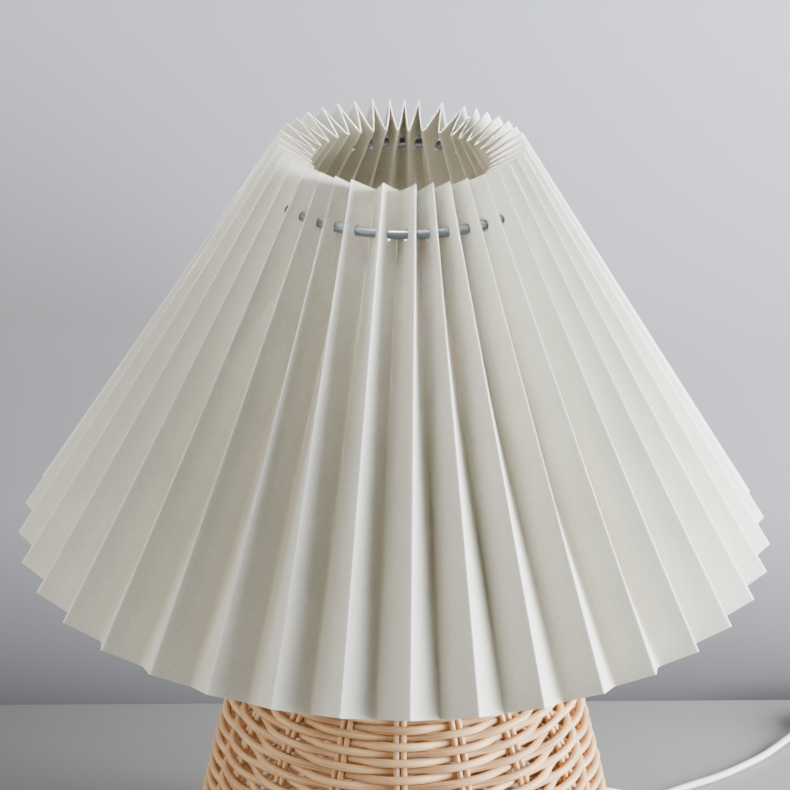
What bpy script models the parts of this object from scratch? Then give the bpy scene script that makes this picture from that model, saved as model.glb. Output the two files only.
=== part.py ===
"""Table lamp: a pleated conical shade on a woven rattan body, with its lead, switch and plug.

Run with Blender 4.5. Metres, +Z up. The lamp stands on z = 0 and its axis is the Z axis.
The build goes from the floor up: base, centre tube, lamp holder, bulb, shade, then the lead.
"""

import math

import bmesh
import bpy
from mathutils import Matrix, Vector

# ---------------------------------------------------------------- driving dimensions
GAP = 0.0003  # running and stacking clearance between neighbouring solids
FINE = 48  # facets round a large turned piece
COARSE = 24  # facets round a small turned piece

# shade
PLEATS = 39
SHADE_BOTTOM_R = 0.180
SHADE_TOP_R = 0.056
SHADE_BOTTOM_Z = 0.235
SHADE_HEIGHT = 0.195
PLEAT_FACE = 0.0195  # width of one flat face between two folds
SHEET_THICK = 0.0006
SHEET_ROWS = 3  # rows of facets from rim to rim
RING_R = 0.059  # rod ring that all the pleats are threaded on
RING_DROP = 0.0225  # how far the ring lies below the shade's top
RING_ROD_R = 0.0021
HOLE_R = 0.0030  # punched holes round the ring
ARM_R = 0.0016
ARM_COUNT = 3

# woven body: outer outline, height above the table and radius, from the foot up
BODY_OUTLINE = (
    (0.0146, 0.1015),
    (0.0300, 0.1055),
    (0.0500, 0.1075),
    (0.0700, 0.1058),
    (0.0900, 0.1015),
    (0.1100, 0.0968),
    (0.1300, 0.0918),
    (0.1480, 0.0850),
    (0.1660, 0.0748),
    (0.1830, 0.0615),
    (0.1950, 0.0475),
    (0.2005, 0.0385),
)
BODY_WALL = 0.0090
FOOT_RIM_R = 0.0955
FOOT_RIM_SECTION = 0.0060
NECK_RIM_R = 0.0340
NECK_RIM_SECTION = 0.0036
NECK_RIM_Z = 0.2020

# foot and centre tube
FELT_R = 0.0870
FELT_THICK = 0.0025
PLATE_R = 0.0890
PLATE_THICK = 0.0080
RECESS_R = 0.0125
RECESS_DEPTH = 0.0048
TUBE_R = 0.0050
TUBE_BORE = 0.0036
NUT_AF = 0.0150  # across flats
NUT_THICK = 0.0038
WASHER_R = 0.0110
WASHER_THICK = 0.0012
NECK_PLATE_R = 0.0380
NECK_PLATE_THICK = 0.0022
SPACER_R = 0.0085

# lamp holder and bulb
HOLDER_BOTTOM_Z = 0.2440
HOLDER_CAP_HEIGHT = 0.0180
HOLDER_R = 0.0190
HOLDER_FLANGE_R = 0.0240
HOLDER_HEIGHT = 0.0380
SCREW_SHELL_R = 0.0145
COLLAR_R = 0.0275
COLLAR_THICK = 0.0015
RING_NUT_R = 0.0262
RING_NUT_THICK = 0.0075
BULB_R = 0.0300
BULB_LENGTH = 0.0815  # glass only
BULB_WALL = 0.0009
BULB_CAP_R = 0.0131
BULB_CAP_LENGTH = 0.0220

# lead
LEAD_D = 0.0040
LEAD_R = LEAD_D / 2
EXIT_AZIMUTH = math.radians(40.0)
EXIT_Z = 0.0220
GLAND_SLEEVE_R = 0.0048
GLAND_FLANGE_R = 0.0078
GLAND_FLANGE_THICK = 0.0020
RELIEF_LENGTH = 0.0220
RELIEF_TIP_R = 0.0031
LEAD_Z = LEAD_R + 0.0002  # centre of a lead that lies on the table

SWITCH_LENGTH = 0.0620
SWITCH_WIDTH = 0.0240
SWITCH_SPLIT_Z = 0.0080
SWITCH_TOP_Z = 0.0165
SWITCH_START = Vector((0.2405, 0.1775, 0.0075))
SWITCH_HEADING = math.radians(15.0)
ROCKER_TILT = math.radians(8.0)

COIL_CENTRE = Vector((0.3245, 0.1500, 0.0073))
COIL_R = 0.0240  # middle of the turns
COIL_HALF_WIDTH = 0.0085
COIL_HALF_HEIGHT = 0.0058

PLUG_REAR = Vector((0.2975, 0.0922, 0.0069))
PLUG_LENGTH = 0.0360
PLUG_HALF_WIDTH = 0.0176
PLUG_HALF_HEIGHT = 0.0066
PIN_R = 0.0020
PIN_LENGTH = 0.0190
PIN_SPACING = 0.0190


# ---------------------------------------------------------------- scene and materials
def clear_scene():
    for old in list(bpy.data.objects):
        bpy.data.objects.remove(old, do_unlink=True)


def finish_of(name, colour, roughness, metallic=0.0):
    """A Principled material, made once for each name."""
    found = bpy.data.materials.get(name)
    if found:
        return found
    made = bpy.data.materials.new(name)
    made.use_nodes = True
    shader = made.node_tree.nodes["Principled BSDF"]
    shader.inputs["Base Color"].default_value = (*colour, 1.0)
    shader.inputs["Roughness"].default_value = roughness
    shader.inputs["Metallic"].default_value = metallic
    made.diffuse_color = (*colour, 1.0)
    return made


def linen():
    return finish_of("pleated_linen", (0.80, 0.79, 0.72), 0.85)


def rattan():
    return finish_of("natural_rattan", (0.62, 0.42, 0.24), 0.60)


def grey_rod():
    return finish_of("grey_rod", (0.33, 0.35, 0.38), 0.35, 0.9)


def steel():
    return finish_of("plated_steel", (0.70, 0.70, 0.72), 0.30, 1.0)


def brass():
    return finish_of("brass", (0.80, 0.62, 0.30), 0.30, 1.0)


def white_plastic():
    return finish_of("white_plastic", (0.86, 0.86, 0.86), 0.40)


def white_sheath():
    return finish_of("white_sheath", (0.84, 0.84, 0.86), 0.50)


def ceramic():
    return finish_of("white_ceramic", (0.88, 0.87, 0.84), 0.25)


def opal_glass():
    return finish_of("opal_glass", (0.93, 0.93, 0.90), 0.20)


def felt():
    return finish_of("grey_felt", (0.30, 0.29, 0.28), 0.95)


def plywood():
    return finish_of("plywood", (0.66, 0.52, 0.36), 0.65)


# ---------------------------------------------------------------- modelling helpers
def add_object(name, data, finish):
    data.materials.clear()
    data.materials.append(finish)
    made = bpy.data.objects.new(name, data)
    bpy.context.scene.collection.objects.link(made)
    return made


def mesh_from(bm, name, smooth_under=math.radians(35.0)):
    """The bmesh as a mesh whose faces point out, shaded smooth across shallow edges."""
    bmesh.ops.recalc_face_normals(bm, faces=bm.faces)
    mesh = bpy.data.meshes.new(name)
    bm.to_mesh(mesh)
    bm.free()
    mesh.shade_smooth()
    mesh.set_sharp_from_angle(angle=smooth_under)
    return mesh


def turned(name, outline, finish, facets=COARSE, closed=None):
    """Spins an outline of (radius, height) points about Z.

    An outline that starts and ends on the axis is a solid, any other is closed into a ring.
    """
    if closed is None:
        closed = outline[0][0] > 0.0 or outline[-1][0] > 0.0
    bm = bmesh.new()
    corners = [bm.verts.new((r, 0.0, z)) for r, z in outline]
    edges = [bm.edges.new(pair) for pair in zip(corners, corners[1:])]
    if closed:
        edges.append(bm.edges.new((corners[-1], corners[0])))
    bmesh.ops.spin(
        bm,
        geom=corners + edges,
        cent=(0, 0, 0),
        axis=(0, 0, 1),
        dvec=(0, 0, 0),
        angle=math.tau,
        steps=facets,
        use_merge=True,
        use_duplicate=False,
    )
    bmesh.ops.remove_doubles(bm, verts=bm.verts, dist=1e-6)
    return add_object(name, mesh_from(bm, name), finish)


def washer_outline(inner, outer, low, high):
    return ((outer, high), (outer, low), (inner, low), (inner, high))


def disc_outline(radius, low, high):
    return ((0.0, high), (radius, high), (radius, low), (0.0, low))


def circle_outline(centre_r, centre_z, section_r, sides):
    """The outline of a round ring."""
    turns = [math.tau * (k + 0.5) / sides for k in range(sides)]
    return tuple(
        (centre_r + section_r * math.cos(t), centre_z + section_r * math.sin(t)) for t in turns
    )


def cutter_from(target, cutter):
    """Cuts cutter's shape out of target and keeps the cutter out of the model."""
    cutter.hide_render = True
    cutter.display_type = "WIRE"
    cut = target.modifiers.new("cut_" + cutter.name, "BOOLEAN")
    cut.operation = "DIFFERENCE"
    cut.solver = "EXACT"
    cut.object = cutter
    return target


def hex_nut(name, low, finish, bore=TUBE_R + GAP):
    """A six-sided nut on the Z axis, bored for the centre tube."""
    bm = bmesh.new()
    corner_r = NUT_AF / 2 / math.cos(math.pi / 6)
    bmesh.ops.create_cone(
        bm,
        cap_ends=True,
        segments=6,
        radius1=corner_r,
        radius2=corner_r,
        depth=NUT_THICK,
        matrix=Matrix.Translation((0, 0, low + NUT_THICK / 2)),
    )
    nut = add_object(name, mesh_from(bm, name), finish)
    drill = turned(name + "_drill", disc_outline(bore, low - 0.002, low + NUT_THICK + 0.002), finish)
    return cutter_from(nut, drill)


def smooth_route(points, step):
    """Points about step apart on one smooth curve through the given ones."""
    ends = [points[0] * 2 - points[1], *points, points[-1] * 2 - points[-2]]
    route = []
    for k in range(1, len(ends) - 2):
        before, start, end, after = ends[k - 1 : k + 3]
        pieces = max(1, round((end - start).length / step))
        for i in range(pieces):
            t = i / pieces
            route.append(
                0.5
                * (
                    2 * start
                    + (end - before) * t
                    + (2 * before - 5 * start + 4 * end - after) * t**2
                    + (3 * start - before - 3 * end + after) * t**3
                )
            )
    route.append(points[-1])
    return route


def rod(name, points, radius, finish, resolution=2):
    """A round rod or tube-like lead along the given points, with flat filled ends."""
    curve = bpy.data.curves.new(name, "CURVE")
    curve.dimensions = "3D"
    curve.bevel_depth = radius
    curve.bevel_resolution = resolution
    curve.use_fill_caps = True
    spline = curve.splines.new("POLY")
    spline.points.add(len(points) - 1)
    for place, point in zip(points, spline.points):
        point.co = (*place, 1.0)
    return add_object(name, curve, finish)


def at_heading(start, heading):
    """A frame at start whose X axis points along the heading, flat on the table."""
    return Matrix.Translation(start) @ Matrix.Rotation(heading, 4, "Z")


def rounded_block(name, size, centre, corner, finish, place):
    """A block whose upright edges are rounded, put where place says."""
    bm = bmesh.new()
    bmesh.ops.create_cube(bm, size=1.0)
    bmesh.ops.scale(bm, vec=size, verts=bm.verts)
    bmesh.ops.translate(bm, vec=centre, verts=bm.verts)
    upright = [e for e in bm.edges if abs(e.verts[0].co.z - e.verts[1].co.z) > size[2] / 2]
    bmesh.ops.bevel(
        bm, geom=upright, offset=corner, segments=3, profile=0.5, affect="EDGES", material=-1
    )
    made = add_object(name, mesh_from(bm, name), finish)
    made.matrix_world = place
    return made


# ---------------------------------------------------------------- foot and woven body
def body_radius(height):
    """The woven body's outer radius at a height, straight between the outline's points."""
    for (low, r_low), (high, r_high) in zip(BODY_OUTLINE, BODY_OUTLINE[1:]):
        if height <= high:
            share = (height - low) / (high - low)
            return r_low + share * (r_high - r_low)
    return BODY_OUTLINE[-1][1]


def body_inside():
    """The outline moved inwards by the wall, at right angles to it."""
    moved = []
    last = len(BODY_OUTLINE) - 1
    for k, (z, r) in enumerate(BODY_OUTLINE):
        z_low, r_low = BODY_OUTLINE[max(k - 1, 0)]
        z_high, r_high = BODY_OUTLINE[min(k + 1, last)]
        along = Vector((r_high - r_low, z_high - z_low)).normalized()
        moved.append((z - along.x * -BODY_WALL, r - along.y * BODY_WALL))
    moved[0] = (BODY_OUTLINE[0][0], moved[0][1])
    return moved


def make_foot():
    plate_z = FELT_THICK + GAP
    plate_top = plate_z + PLATE_THICK
    turned("felt_pad", disc_outline(FELT_R, 0.0, FELT_THICK), felt(), FINE)
    turned(
        "base_plate",
        (
            (PLATE_R, plate_top),
            (PLATE_R, plate_z),
            (RECESS_R, plate_z),
            (RECESS_R, plate_z + RECESS_DEPTH),
            (TUBE_R + GAP, plate_z + RECESS_DEPTH),
            (TUBE_R + GAP, plate_top),
        ),
        plywood(),
        FINE,
    )
    hex_nut("tube_nut_lower", plate_z + RECESS_DEPTH - GAP - NUT_THICK, steel())
    turned(
        "plate_washer",
        washer_outline(TUBE_R + GAP, WASHER_R, plate_top + GAP, plate_top + GAP + WASHER_THICK),
        steel(),
    )
    hex_nut("tube_nut_plate", plate_top + 2 * GAP + WASHER_THICK, steel())


def make_woven_body():
    foot_z = FELT_THICK + GAP + FOOT_RIM_SECTION - 0.0006
    turned("foot_rim", circle_outline(FOOT_RIM_R, foot_z, FOOT_RIM_SECTION, 8), rattan(), FINE)
    outline = [(r, z) for z, r in reversed(BODY_OUTLINE)]
    outline += [(r, z) for z, r in body_inside()]
    body = turned("woven_body", outline, rattan(), FINE, closed=True)
    turned(
        "neck_rim",
        circle_outline(NECK_RIM_R, NECK_RIM_Z, NECK_RIM_SECTION, 8),
        rattan(),
    )
    hole = turned("gland_hole", disc_outline(GLAND_SLEEVE_R + GAP, 0.0, 0.03), rattan(), 12)
    outward = Matrix.Rotation(EXIT_AZIMUTH, 4, "Z") @ Matrix.Rotation(math.pi / 2, 4, "Y")
    hole.matrix_world = Matrix.Translation(exit_point(0.085)) @ outward
    cutter_from(body, hole)


# ---------------------------------------------------------------- centre tube and neck
def neck_plate_z():
    return NECK_RIM_Z + NECK_RIM_SECTION + GAP


def make_centre_tube():
    low = FELT_THICK + 2 * GAP
    high = HOLDER_BOTTOM_Z + 0.010
    tube = turned("centre_tube", washer_outline(TUBE_BORE, TUBE_R, low, high), steel())
    slot = rounded_block(
        "lead_slot",
        (0.012, 0.0052, 0.0230),
        (0.0062, 0.0, 0.0360),
        0.001,
        steel(),
        Matrix.Rotation(EXIT_AZIMUTH, 4, "Z"),
    )
    cutter_from(tube, slot)


def make_neck():
    low = neck_plate_z()
    top = low + NECK_PLATE_THICK
    turned(
        "neck_plate",
        washer_outline(TUBE_R + GAP, NECK_PLATE_R, low, top),
        white_plastic(),
        FINE,
    )
    turned(
        "neck_washer",
        washer_outline(TUBE_R + GAP, WASHER_R, top + GAP, top + GAP + WASHER_THICK),
        steel(),
    )
    nut_low = top + 2 * GAP + WASHER_THICK
    hex_nut("tube_nut_neck", nut_low, steel())
    turned(
        "neck_spacer",
        washer_outline(TUBE_R + GAP, SPACER_R, nut_low + NUT_THICK + GAP, HOLDER_BOTTOM_Z - GAP),
        white_plastic(),
    )


# ---------------------------------------------------------------- lamp holder
def make_lamp_holder():
    """The cap under, the threaded body, the ceramic insert and its contacts."""
    low = HOLDER_BOTTOM_Z
    body_low = low + HOLDER_CAP_HEIGHT + GAP
    body_top = body_low + HOLDER_HEIGHT
    insert_top = body_low + 0.0110
    turned(
        "holder_cap",
        (
            (HOLDER_FLANGE_R, low + HOLDER_CAP_HEIGHT),
            (HOLDER_FLANGE_R, low + HOLDER_CAP_HEIGHT - 0.004),
            (0.0205, low + 0.0060),
            (0.0110, low),
            (TUBE_R + GAP, low),
            (TUBE_R + GAP, low + 0.0045),
            (0.0185, low + 0.0085),
            (0.0215, low + HOLDER_CAP_HEIGHT),
        ),
        white_plastic(),
        32,
    )
    turned(
        "holder_body",
        (
            (HOLDER_R, body_top),
            (HOLDER_R, body_low + 0.003),
            (HOLDER_FLANGE_R, body_low + 0.003),
            (HOLDER_FLANGE_R, body_low),
            (0.0165, body_low),
            (0.0165, body_top),
        ),
        white_plastic(),
        32,
    )
    turned(
        "holder_insert",
        disc_outline(0.0165 - GAP, body_low + 0.0010, insert_top),
        ceramic(),
    )
    turned(
        "screw_shell",
        washer_outline(
            SCREW_SHELL_R - 0.0007, SCREW_SHELL_R, insert_top + GAP, body_top - 0.001
        ),
        brass(),
    )
    turned(
        "centre_contact",
        disc_outline(0.0040, insert_top + GAP, insert_top + GAP + 0.0012),
        brass(),
        16,
    )
    return body_low, insert_top + GAP + 0.0012


def make_bulb(contact_top):
    low = contact_top + GAP
    cap_low = low + 0.0028
    glass_low = cap_low + BULB_CAP_LENGTH + GAP
    turned(
        "bulb_contact",
        ((0.0, cap_low), (0.0055, cap_low), (0.0040, low), (0.0, low)),
        brass(),
        16,
    )
    turned(
        "bulb_cap",
        (
            (0.0, cap_low + BULB_CAP_LENGTH),
            (BULB_CAP_R - 0.0005, cap_low + BULB_CAP_LENGTH),
            (BULB_CAP_R, cap_low + BULB_CAP_LENGTH - 0.003),
            (BULB_CAP_R, cap_low + 0.006),
            (0.0100, cap_low + GAP),
            (0.0, cap_low + GAP),
        ),
        steel(),
    )
    wall = globe_side(glass_low, 0.0) + globe_side(glass_low, BULB_WALL)[::-1]
    turned("bulb_globe", wall, opal_glass())


def globe_side(low, inset):
    """One side of the globe's wall, from its crown on the axis down to its open neck."""
    ball_z = low + BULB_LENGTH - BULB_R
    ball_r = BULB_R - inset
    neck_r = BULB_CAP_R - 0.0005 - inset
    neck_z = low + 0.0100
    arc = 7
    turns = [math.pi / 2 * k / arc for k in range(arc, -1, -1)]
    side = [(ball_r * math.cos(t), ball_z + ball_r * math.sin(t)) for t in turns]
    side[0] = (0.0, ball_z + ball_r)
    swell = 5
    for k in range(swell - 1, 0, -1):
        share = k / swell
        ease = share * share * (3 - 2 * share)
        side.append((neck_r + ease * (ball_r - neck_r), neck_z + share * (ball_z - neck_z)))
    return side + [(neck_r, neck_z), (neck_r, low)]


# ---------------------------------------------------------------- shade
def shade_lean():
    """The slope of the shade's side, measured from upright."""
    return math.atan2(SHADE_BOTTOM_R - SHADE_TOP_R, SHADE_HEIGHT)


def inner_fold(radius, height):
    """Where the inner fold lies between two outer folds of the given radius and height."""
    half = radius * math.sin(math.pi / PLEATS)
    depth = math.sqrt(PLEAT_FACE**2 - half**2)
    return (
        radius * math.cos(math.pi / PLEATS) - depth * math.cos(shade_lean()),
        height - depth * math.sin(shade_lean()),
    )


def make_pleated_sheet():
    """One zigzag sheet with sharp folds, thickened, then punched where the ring passes."""
    top_z = SHADE_BOTTOM_Z + SHADE_HEIGHT
    rims = (
        ((SHADE_BOTTOM_R, SHADE_BOTTOM_Z), inner_fold(SHADE_BOTTOM_R, SHADE_BOTTOM_Z)),
        ((SHADE_TOP_R, top_z), inner_fold(SHADE_TOP_R, top_z)),
    )
    bm = bmesh.new()
    rows = []
    for level in range(SHEET_ROWS + 1):
        share = level / SHEET_ROWS
        row = []
        for k in range(2 * PLEATS):
            turn = math.pi * k / PLEATS - math.pi / 2
            low, high = (Vector(folds[k % 2]) for folds in rims)
            radius, height = low.lerp(high, share)
            row.append(bm.verts.new((radius * math.cos(turn), radius * math.sin(turn), height)))
        rows.append(row)
    # the faces twist a little from rim to rim, so each is split before it is thickened: both of
    # its sides then turn on the same diagonal, which runs from an outer fold up to an inner one
    for low_row, high_row in zip(rows, rows[1:]):
        for k in range(2 * PLEATS):
            nxt = (k + 1) % (2 * PLEATS)
            corners = (low_row[k], low_row[nxt], high_row[nxt], high_row[k])
            first = k % 2
            for triple in ((0, 1, 2), (0, 2, 3)):
                bm.faces.new([corners[(first + place) % 4] for place in triple])
    mesh = bpy.data.meshes.new("shade_sheet")
    bm.to_mesh(mesh)
    bm.free()
    sheet = add_object("shade_sheet", mesh, linen())
    wall = sheet.modifiers.new("sheet_thickness", "SOLIDIFY")
    wall.thickness = SHEET_THICK
    wall.offset = 0.0
    wall.use_even_offset = True
    ring_z = top_z - RING_DROP
    punch = turned(
        "punch_ring", circle_outline(RING_R, ring_z, HOLE_R, 8), grey_rod(), 2 * PLEATS
    )
    cutter_from(sheet, punch)


def make_shade_frame(holder_flange_top):
    """The rod ring, the collar on the lamp holder, the arms between them and the ring nut."""
    ring_z = SHADE_BOTTOM_Z + SHADE_HEIGHT - RING_DROP
    turned(
        "shade_ring", circle_outline(RING_R, ring_z, RING_ROD_R, 8), grey_rod(), 2 * PLEATS
    )
    low = holder_flange_top + GAP
    turned(
        "shade_collar",
        washer_outline(HOLDER_R + 2 * GAP, COLLAR_R, low, low + COLLAR_THICK),
        grey_rod(),
        32,
    )
    foot_z = low + COLLAR_THICK / 2
    for k in range(ARM_COUNT):
        turn = math.tau * k / ARM_COUNT - math.pi / 2
        outline = (
            (COLLAR_R + GAP, foot_z),
            (COLLAR_R + 0.0045, foot_z + 0.0004),
            (COLLAR_R + 0.0085, foot_z + 0.0035),
            (COLLAR_R + 0.0110, foot_z + 0.0090),
            (RING_R - 0.0120, ring_z - 0.0300),
            (RING_R - 0.0085, ring_z - 0.0060),
            (RING_R - 0.0060, ring_z),
            (RING_R - RING_ROD_R - GAP, ring_z),
        )
        points = [
            Vector((r * math.cos(turn), r * math.sin(turn), z)) for r, z in outline
        ]
        rod(f"shade_arm_{k + 1}", smooth_route(points, 0.012), ARM_R, grey_rod())
    nut_low = low + COLLAR_THICK + GAP
    turned(
        "shade_ring_nut",
        (
            (RING_NUT_R, nut_low + RING_NUT_THICK),
            (RING_NUT_R, nut_low + 0.0015),
            (RING_NUT_R - 0.002, nut_low),
            (HOLDER_R + 2 * GAP, nut_low),
            (HOLDER_R + 2 * GAP, nut_low + RING_NUT_THICK),
        ),
        white_plastic(),
        32,
    )


# ---------------------------------------------------------------- lead, switch and plug
def exit_point(radius, height=EXIT_Z):
    """A point on the line along which the lead leaves the body."""
    return Vector(
        (radius * math.cos(EXIT_AZIMUTH), radius * math.sin(EXIT_AZIMUTH), height)
    )


def gland_face():
    """How far out the flange sits, so that its upper edge just clears the wall's slope."""
    return body_radius(EXIT_Z + GLAND_FLANGE_R) + GAP


def make_gland():
    """The sleeve through the wall, its flange and the tapered strain relief."""
    sleeve = gland_face() - 0.0850
    flange = sleeve + GLAND_FLANGE_THICK
    outline = (
        (0.0, flange + RELIEF_LENGTH),
        (RELIEF_TIP_R, flange + RELIEF_LENGTH),
        (0.0050, flange),
        (GLAND_FLANGE_R, flange),
        (GLAND_FLANGE_R, sleeve),
        (GLAND_SLEEVE_R, sleeve),
        (GLAND_SLEEVE_R, 0.0),
        (0.0, 0.0),
    )
    gland = turned("cord_gland", outline, white_plastic(), 16)
    outward = Matrix.Rotation(EXIT_AZIMUTH, 4, "Z") @ Matrix.Rotation(math.pi / 2, 4, "Y")
    gland.matrix_world = Matrix.Translation(exit_point(0.0850)) @ outward


def make_inner_lead():
    """From the gland across the foot, into the slot of the centre tube and up to the holder."""
    bend = 0.020
    flat = [
        (0.0850 - GAP, EXIT_Z),
        (0.0700, EXIT_Z - 0.0008),
        (0.0520, EXIT_Z - 0.0014),
        (0.0340, EXIT_Z - 0.0006),
    ]
    flat += [
        (bend * (1 - math.sin(t)), EXIT_Z + bend * (1 - math.cos(t)))
        for t in (0.0, 0.3, 0.6, 0.9, 1.2, math.pi / 2)
    ]
    flat += [(0.0, 0.070), (0.0, 0.140), (0.0, HOLDER_BOTTOM_Z + 0.008)]
    points = [exit_point(r, z) for r, z in flat]
    rod("inner_lead", smooth_route(points, 0.008), LEAD_R, white_sheath())


def lead_to_switch():
    """The free lead from the strain relief's tip to the switch."""
    along = Vector((math.cos(SWITCH_HEADING), math.sin(SWITCH_HEADING), 0.0))
    tip = gland_face() + GLAND_FLANGE_THICK + RELIEF_LENGTH + GAP
    return [
        exit_point(tip),
        exit_point(tip + 0.0080, 0.0205),
        Vector((0.1185, 0.0975, 0.0130)),
        Vector((0.1280, 0.1035, 0.0062)),
        Vector((0.1390, 0.1090, 0.0028)),
        Vector((0.1570, 0.1195, LEAD_Z)),
        Vector((0.1790, 0.1315, LEAD_Z)),
        Vector((0.2028, 0.1495, LEAD_Z)),
        Vector((0.2190, 0.1650, 0.0036)),
        SWITCH_START - along * 0.0080,
        SWITCH_START - along * GAP,
    ]


def lead_to_coil():
    """From the far end of the switch to the outside of the coil."""
    along = Vector((math.cos(SWITCH_HEADING), math.sin(SWITCH_HEADING), 0.0))
    end = SWITCH_START + along * (SWITCH_LENGTH + GAP)
    touch = COIL_R + COIL_HALF_WIDTH + LEAD_R + GAP
    return [
        end,
        end + along * 0.0080,
        Vector((0.3210, 0.1965, 0.0034)),
        Vector((0.3330, 0.1935, LEAD_Z)),
        Vector((0.3450, 0.1862, LEAD_Z)),
        Vector((0.3540, 0.1750, LEAD_Z)),
        Vector((0.3585, 0.1630, LEAD_Z)),
        Vector((COIL_CENTRE.x + touch, COIL_CENTRE.y + 0.0010, LEAD_Z)),
    ]


def lead_to_plug():
    """From the near side of the coil to the rear of the plug."""
    touch = COIL_R + COIL_HALF_WIDTH + LEAD_R + GAP
    return [
        Vector((COIL_CENTRE.x - 0.0020, COIL_CENTRE.y - touch, 0.0040)),
        Vector((0.3130, 0.1140, 0.0034)),
        Vector((0.3045, 0.1100, 0.0042)),
        PLUG_REAR + Vector((0.0, 0.0080, 0.0)),
        PLUG_REAR + Vector((0.0, GAP, 0.0)),
    ]


def make_lead():
    step = 2.2 * LEAD_D
    rod("cord_to_switch", smooth_route(lead_to_switch(), step), LEAD_R, white_sheath())
    rod("cord_to_coil", smooth_route(lead_to_coil(), step), LEAD_R, white_sheath())
    rod("cord_to_plug", smooth_route(lead_to_plug(), step), LEAD_R, white_sheath())


def make_coil():
    """The coil's outer shape, and the band that ties its turns together."""
    wide, high = COIL_HALF_WIDTH, COIL_HALF_HEIGHT
    cut = 0.003
    corners = (
        (wide, high - cut),
        (wide, cut - high),
        (wide - cut, -high),
        (cut - wide, -high),
        (-wide, cut - high),
        (-wide, high - cut),
        (cut - wide, high),
        (wide - cut, high),
    )
    coil = turned("cord_coil", [(COIL_R + x, z) for x, z in corners], white_sheath(), 36)
    coil.location = COIL_CENTRE
    band = 0.0008
    turn = math.radians(200.0)
    middle = COIL_CENTRE + COIL_R * Vector((math.cos(turn), math.sin(turn), 0.0))
    place = at_heading(middle, turn)
    outer = (2 * (wide + 2 * GAP + band), 0.0080, 2 * (high + GAP + band))
    inner = (2 * (wide + 2 * GAP), 0.0120, 2 * (high + GAP))
    tie = rounded_block("coil_tie", outer, (0, 0, 0), 0.0005, white_sheath(), place)
    window = rounded_block("tie_window", inner, (0, 0, 0), 0.0005, white_sheath(), place)
    cutter_from(tie, window)


def make_switch():
    """Two housing shells, the rocker in its window and the bridge that it presses on."""
    place = at_heading(Vector((SWITCH_START.x, SWITCH_START.y, 0.0)), SWITCH_HEADING)
    half = SWITCH_LENGTH / 2
    wall = 0.0018
    corner = 0.0080
    low_size = (SWITCH_LENGTH, SWITCH_WIDTH, SWITCH_SPLIT_Z)
    low = rounded_block(
        "switch_lower", low_size, (half, 0, SWITCH_SPLIT_Z / 2), corner, white_plastic(), place
    )
    inside = (SWITCH_LENGTH - 2 * wall, SWITCH_WIDTH - 2 * wall)
    tray = rounded_block(
        "switch_tray",
        (*inside, SWITCH_SPLIT_Z),
        (half, 0, SWITCH_SPLIT_Z / 2 + wall),
        corner - wall,
        white_plastic(),
        place,
    )
    cutter_from(low, tray)
    up_low = SWITCH_SPLIT_Z + GAP
    up_high = SWITCH_TOP_Z - up_low
    up = rounded_block(
        "switch_upper",
        (SWITCH_LENGTH, SWITCH_WIDTH, up_high),
        (half, 0, up_low + up_high / 2),
        corner,
        white_plastic(),
        place,
    )
    lid = rounded_block(
        "switch_lid_hollow",
        (*inside, up_high),
        (half, 0, up_low + up_high / 2 - wall),
        corner - wall,
        white_plastic(),
        place,
    )
    cutter_from(up, lid)
    window = rounded_block(
        "switch_window",
        (0.0190, 0.0122, 0.010),
        (half, 0, SWITCH_TOP_Z),
        0.001,
        white_plastic(),
        place,
    )
    cutter_from(up, window)
    pivot = Matrix.Translation((half, 0, 0.0135))
    tilt = Matrix.Rotation(ROCKER_TILT, 4, "Y")
    bm = bmesh.new()
    profile = (
        (-0.0086, 0.0038),
        (-0.0082, -0.0012),
        (0.0, -0.0035),
        (0.0082, -0.0012),
        (0.0086, 0.0038),
        (0.0, 0.0024),
    )
    near = [bm.verts.new((x, -0.0055, z)) for x, z in profile]
    side = bm.faces.new(near)
    grown = bmesh.ops.extrude_face_region(bm, geom=[side])["geom"]
    moved = [v for v in grown if isinstance(v, bmesh.types.BMVert)]
    bmesh.ops.translate(bm, vec=(0, 0.011, 0), verts=moved)
    rocker = add_object("switch_rocker", mesh_from(bm, "switch_rocker"), white_plastic())
    rocker.matrix_world = place @ pivot @ tilt
    rounded_block(
        "switch_bridge", (0.0200, 0.0060, 0.0010), (half, 0, 0.0050), 0.001, brass(), place
    )


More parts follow.
